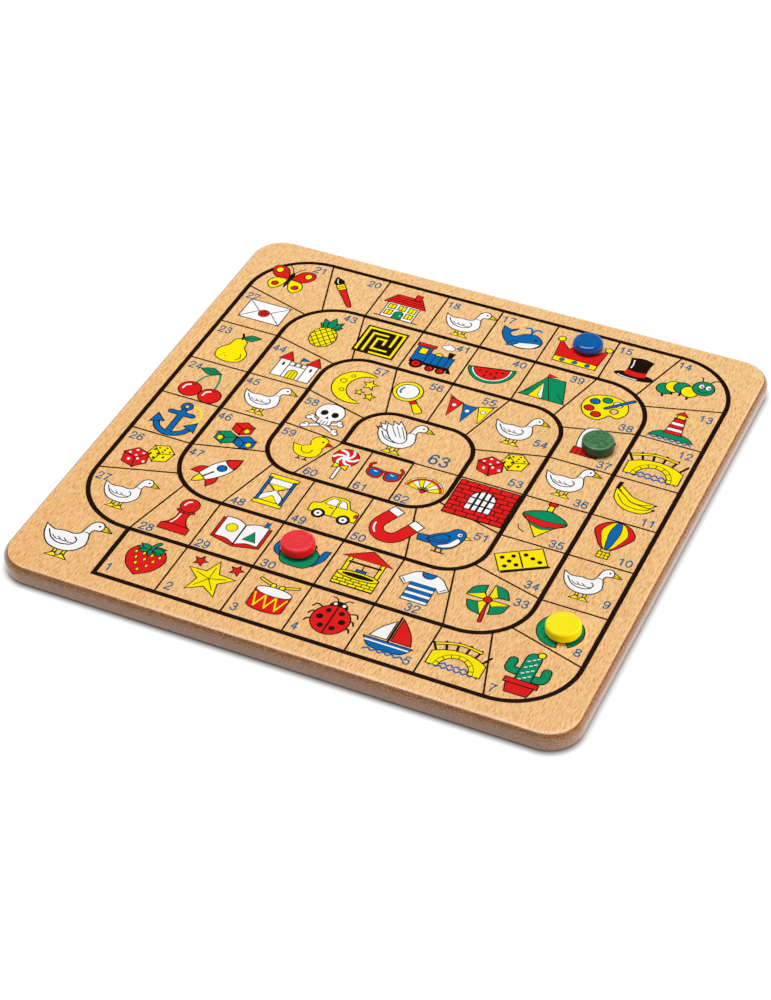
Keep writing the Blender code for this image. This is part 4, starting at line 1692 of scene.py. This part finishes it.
# The pictures in the order of their spaces
PICTURES = (
    draw_strawberry, draw_star, draw_drum, draw_ladybird, draw_sailboat, draw_bridge, draw_cactus,
    draw_lily_pad, draw_goose, draw_hot_air_balloon, draw_bananas, draw_bridge, draw_lighthouse,
    draw_caterpillar, draw_top_hat, draw_crown, draw_whale, draw_goose, draw_inn, draw_paintbrush,
    draw_butterfly, draw_envelope, draw_pear, draw_cherries, draw_anchor, draw_dice, draw_goose,
    draw_pawn, draw_book, draw_teapot, draw_well, draw_shirt, draw_pinwheel, draw_domino,
    draw_spinning_top, draw_goose, draw_mitten, draw_palette, draw_tent, draw_watermelon,
    draw_locomotive, draw_maze, draw_pineapple, draw_castle, draw_goose, draw_blocks, draw_rocket,
    draw_hourglass, draw_car, draw_magnet, draw_bird, draw_prison, draw_dice, draw_goose,
    draw_bunting, draw_magnifier, draw_moon, draw_skull, draw_chick, draw_lollipop, draw_glasses,
    draw_fan,
)


def draw_number(pen, number, middle, height):
    text = str(number)
    scale = height / DIGIT_BOX[1]
    width = (len(text) - 1) * DIGIT_STEP + DIGIT_BOX[0]
    for index, digit in enumerate(text):
        left = middle.x + (index * DIGIT_STEP - width / 2) * scale
        pen.place(left, middle.y - height / 2, scale)
        for stroke in DIGITS[digit]:
            pen.curve(*stroke, width=DIGIT_STROKE, ink="slate")


def track_spaces():
    """The place of each space's picture and of its number, from 1 to the last before the goal."""
    corners = spiral_corners()
    spaces = []
    for index in range(FIRST_RUN, LAST_RUN + 1):
        corner, following, along, inward, lane = run_from(corners, index)
        lines = run_lines(corners, index)
        onward, deeper = NUMBER_SHIFTS[index - FIRST_RUN]
        for start, end in zip(lines, lines[1:]):
            middle = corner + along * ((start + end) / 2) + inward * lane / 2
            side = 1 if len(spaces) + 1 in NUMBER_AT_FAR_END else -1
            slanted = end == lines[-1] if side > 0 else start == lines[0] and index > FIRST_RUN
            reach = side * ((end - start) / 2 - NUMBER_INSET - (SLANT_ROOM if slanted else 0.0))
            number = middle + along * (reach + onward) + inward * (deeper + NUMBER_INSET - lane / 2)
            spaces.append((middle + (inward - along * side) * PICTURE_SHIFT, number))
        if index == LAST_RUN:
            break
        middle = following + (inward - along) * lane * CORNER_PICTURE_PLACE
        if len(spaces) + 1 in NUMBER_AT_FAR_END:
            number = following + inward * (lane - NUMBER_INSET) - along * NUMBER_INSET
        else:
            number = following - along * (lane - NUMBER_INSET) + inward * NUMBER_INSET
        spaces.append((middle, number))
    return spaces


def draw_pictures(pen):
    spaces = track_spaces()
    for space, (middle, number) in enumerate(spaces, 1):
        across, up, size = ODD_PICTURES.get(space, (0.0, 0.0, 1.0))
        pen.place(middle.x + across, middle.y + up, size)
        PICTURES[space - 1](pen)
        if space not in UNNUMBERED:
            shift = Vector(ODD_NUMBERS.get(space, (0.0, 0.0)))
            draw_number(pen, space, number + shift, NUMBER_HEIGHT)
    pen.place(*GOAL_PICTURE)
    draw_winner_goose(pen)
    draw_number(pen, len(spaces) + 1, Vector(GOAL_NUMBER), GOAL_NUMBER_HEIGHT)
    pen.place(*START_PICTURE)
    draw_goose(pen)


# Assembly


def add_print(pen, inks):
    """One thin film of ink for each colour of the print, on the upper veneer."""
    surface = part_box("top_veneer")[1].z
    points, inked = pen.triangles()
    for ink, triangles in inked.items():
        used, corners = np.unique(triangles, return_inverse=True)
        flat = points[used] * MM
        mesh = bpy.data.meshes.new("print_" + ink)
        mesh.from_pydata([(x, y, surface + INK_FILM) for x, y in flat], [], corners.reshape(-1, 3).tolist())
        film = add_piece("print_" + ink, mesh, inks[ink], "board", "ink_" + ink)
        thickness = film.modifiers.new("film", "SOLIDIFY")
        thickness.thickness = INK_FILM + INK_SOAK
        thickness.offset = -1.0


def build():
    bpy.context.scene.view_settings.view_transform = "Standard"
    add_camera()
    add_floor()
    add_surroundings()
    for name, lamp in LAMPS.items():
        add_lamp(name, *lamp)
    add_board_layer("board_core", "fibreboard", fibreboard_material())
    inner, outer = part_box("top_veneer")
    add_board_layer("top_veneer", "beech_top", beech_material("beech_top", outer.z, inner.z))
    outer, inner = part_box("bottom_veneer")
    add_board_layer("bottom_veneer", "beech_bottom", beech_material("beech_bottom", outer.z, inner.z))
    for body, finish in LACQUERS.items():
        add_counter(body, finish)
    inks = {ink: ink_material("ink_" + ink, colour) for ink, colour in INKS.items()}
    pen = Print()
    draw_track(pen)
    draw_pictures(pen)
    add_print(pen, inks)


build()
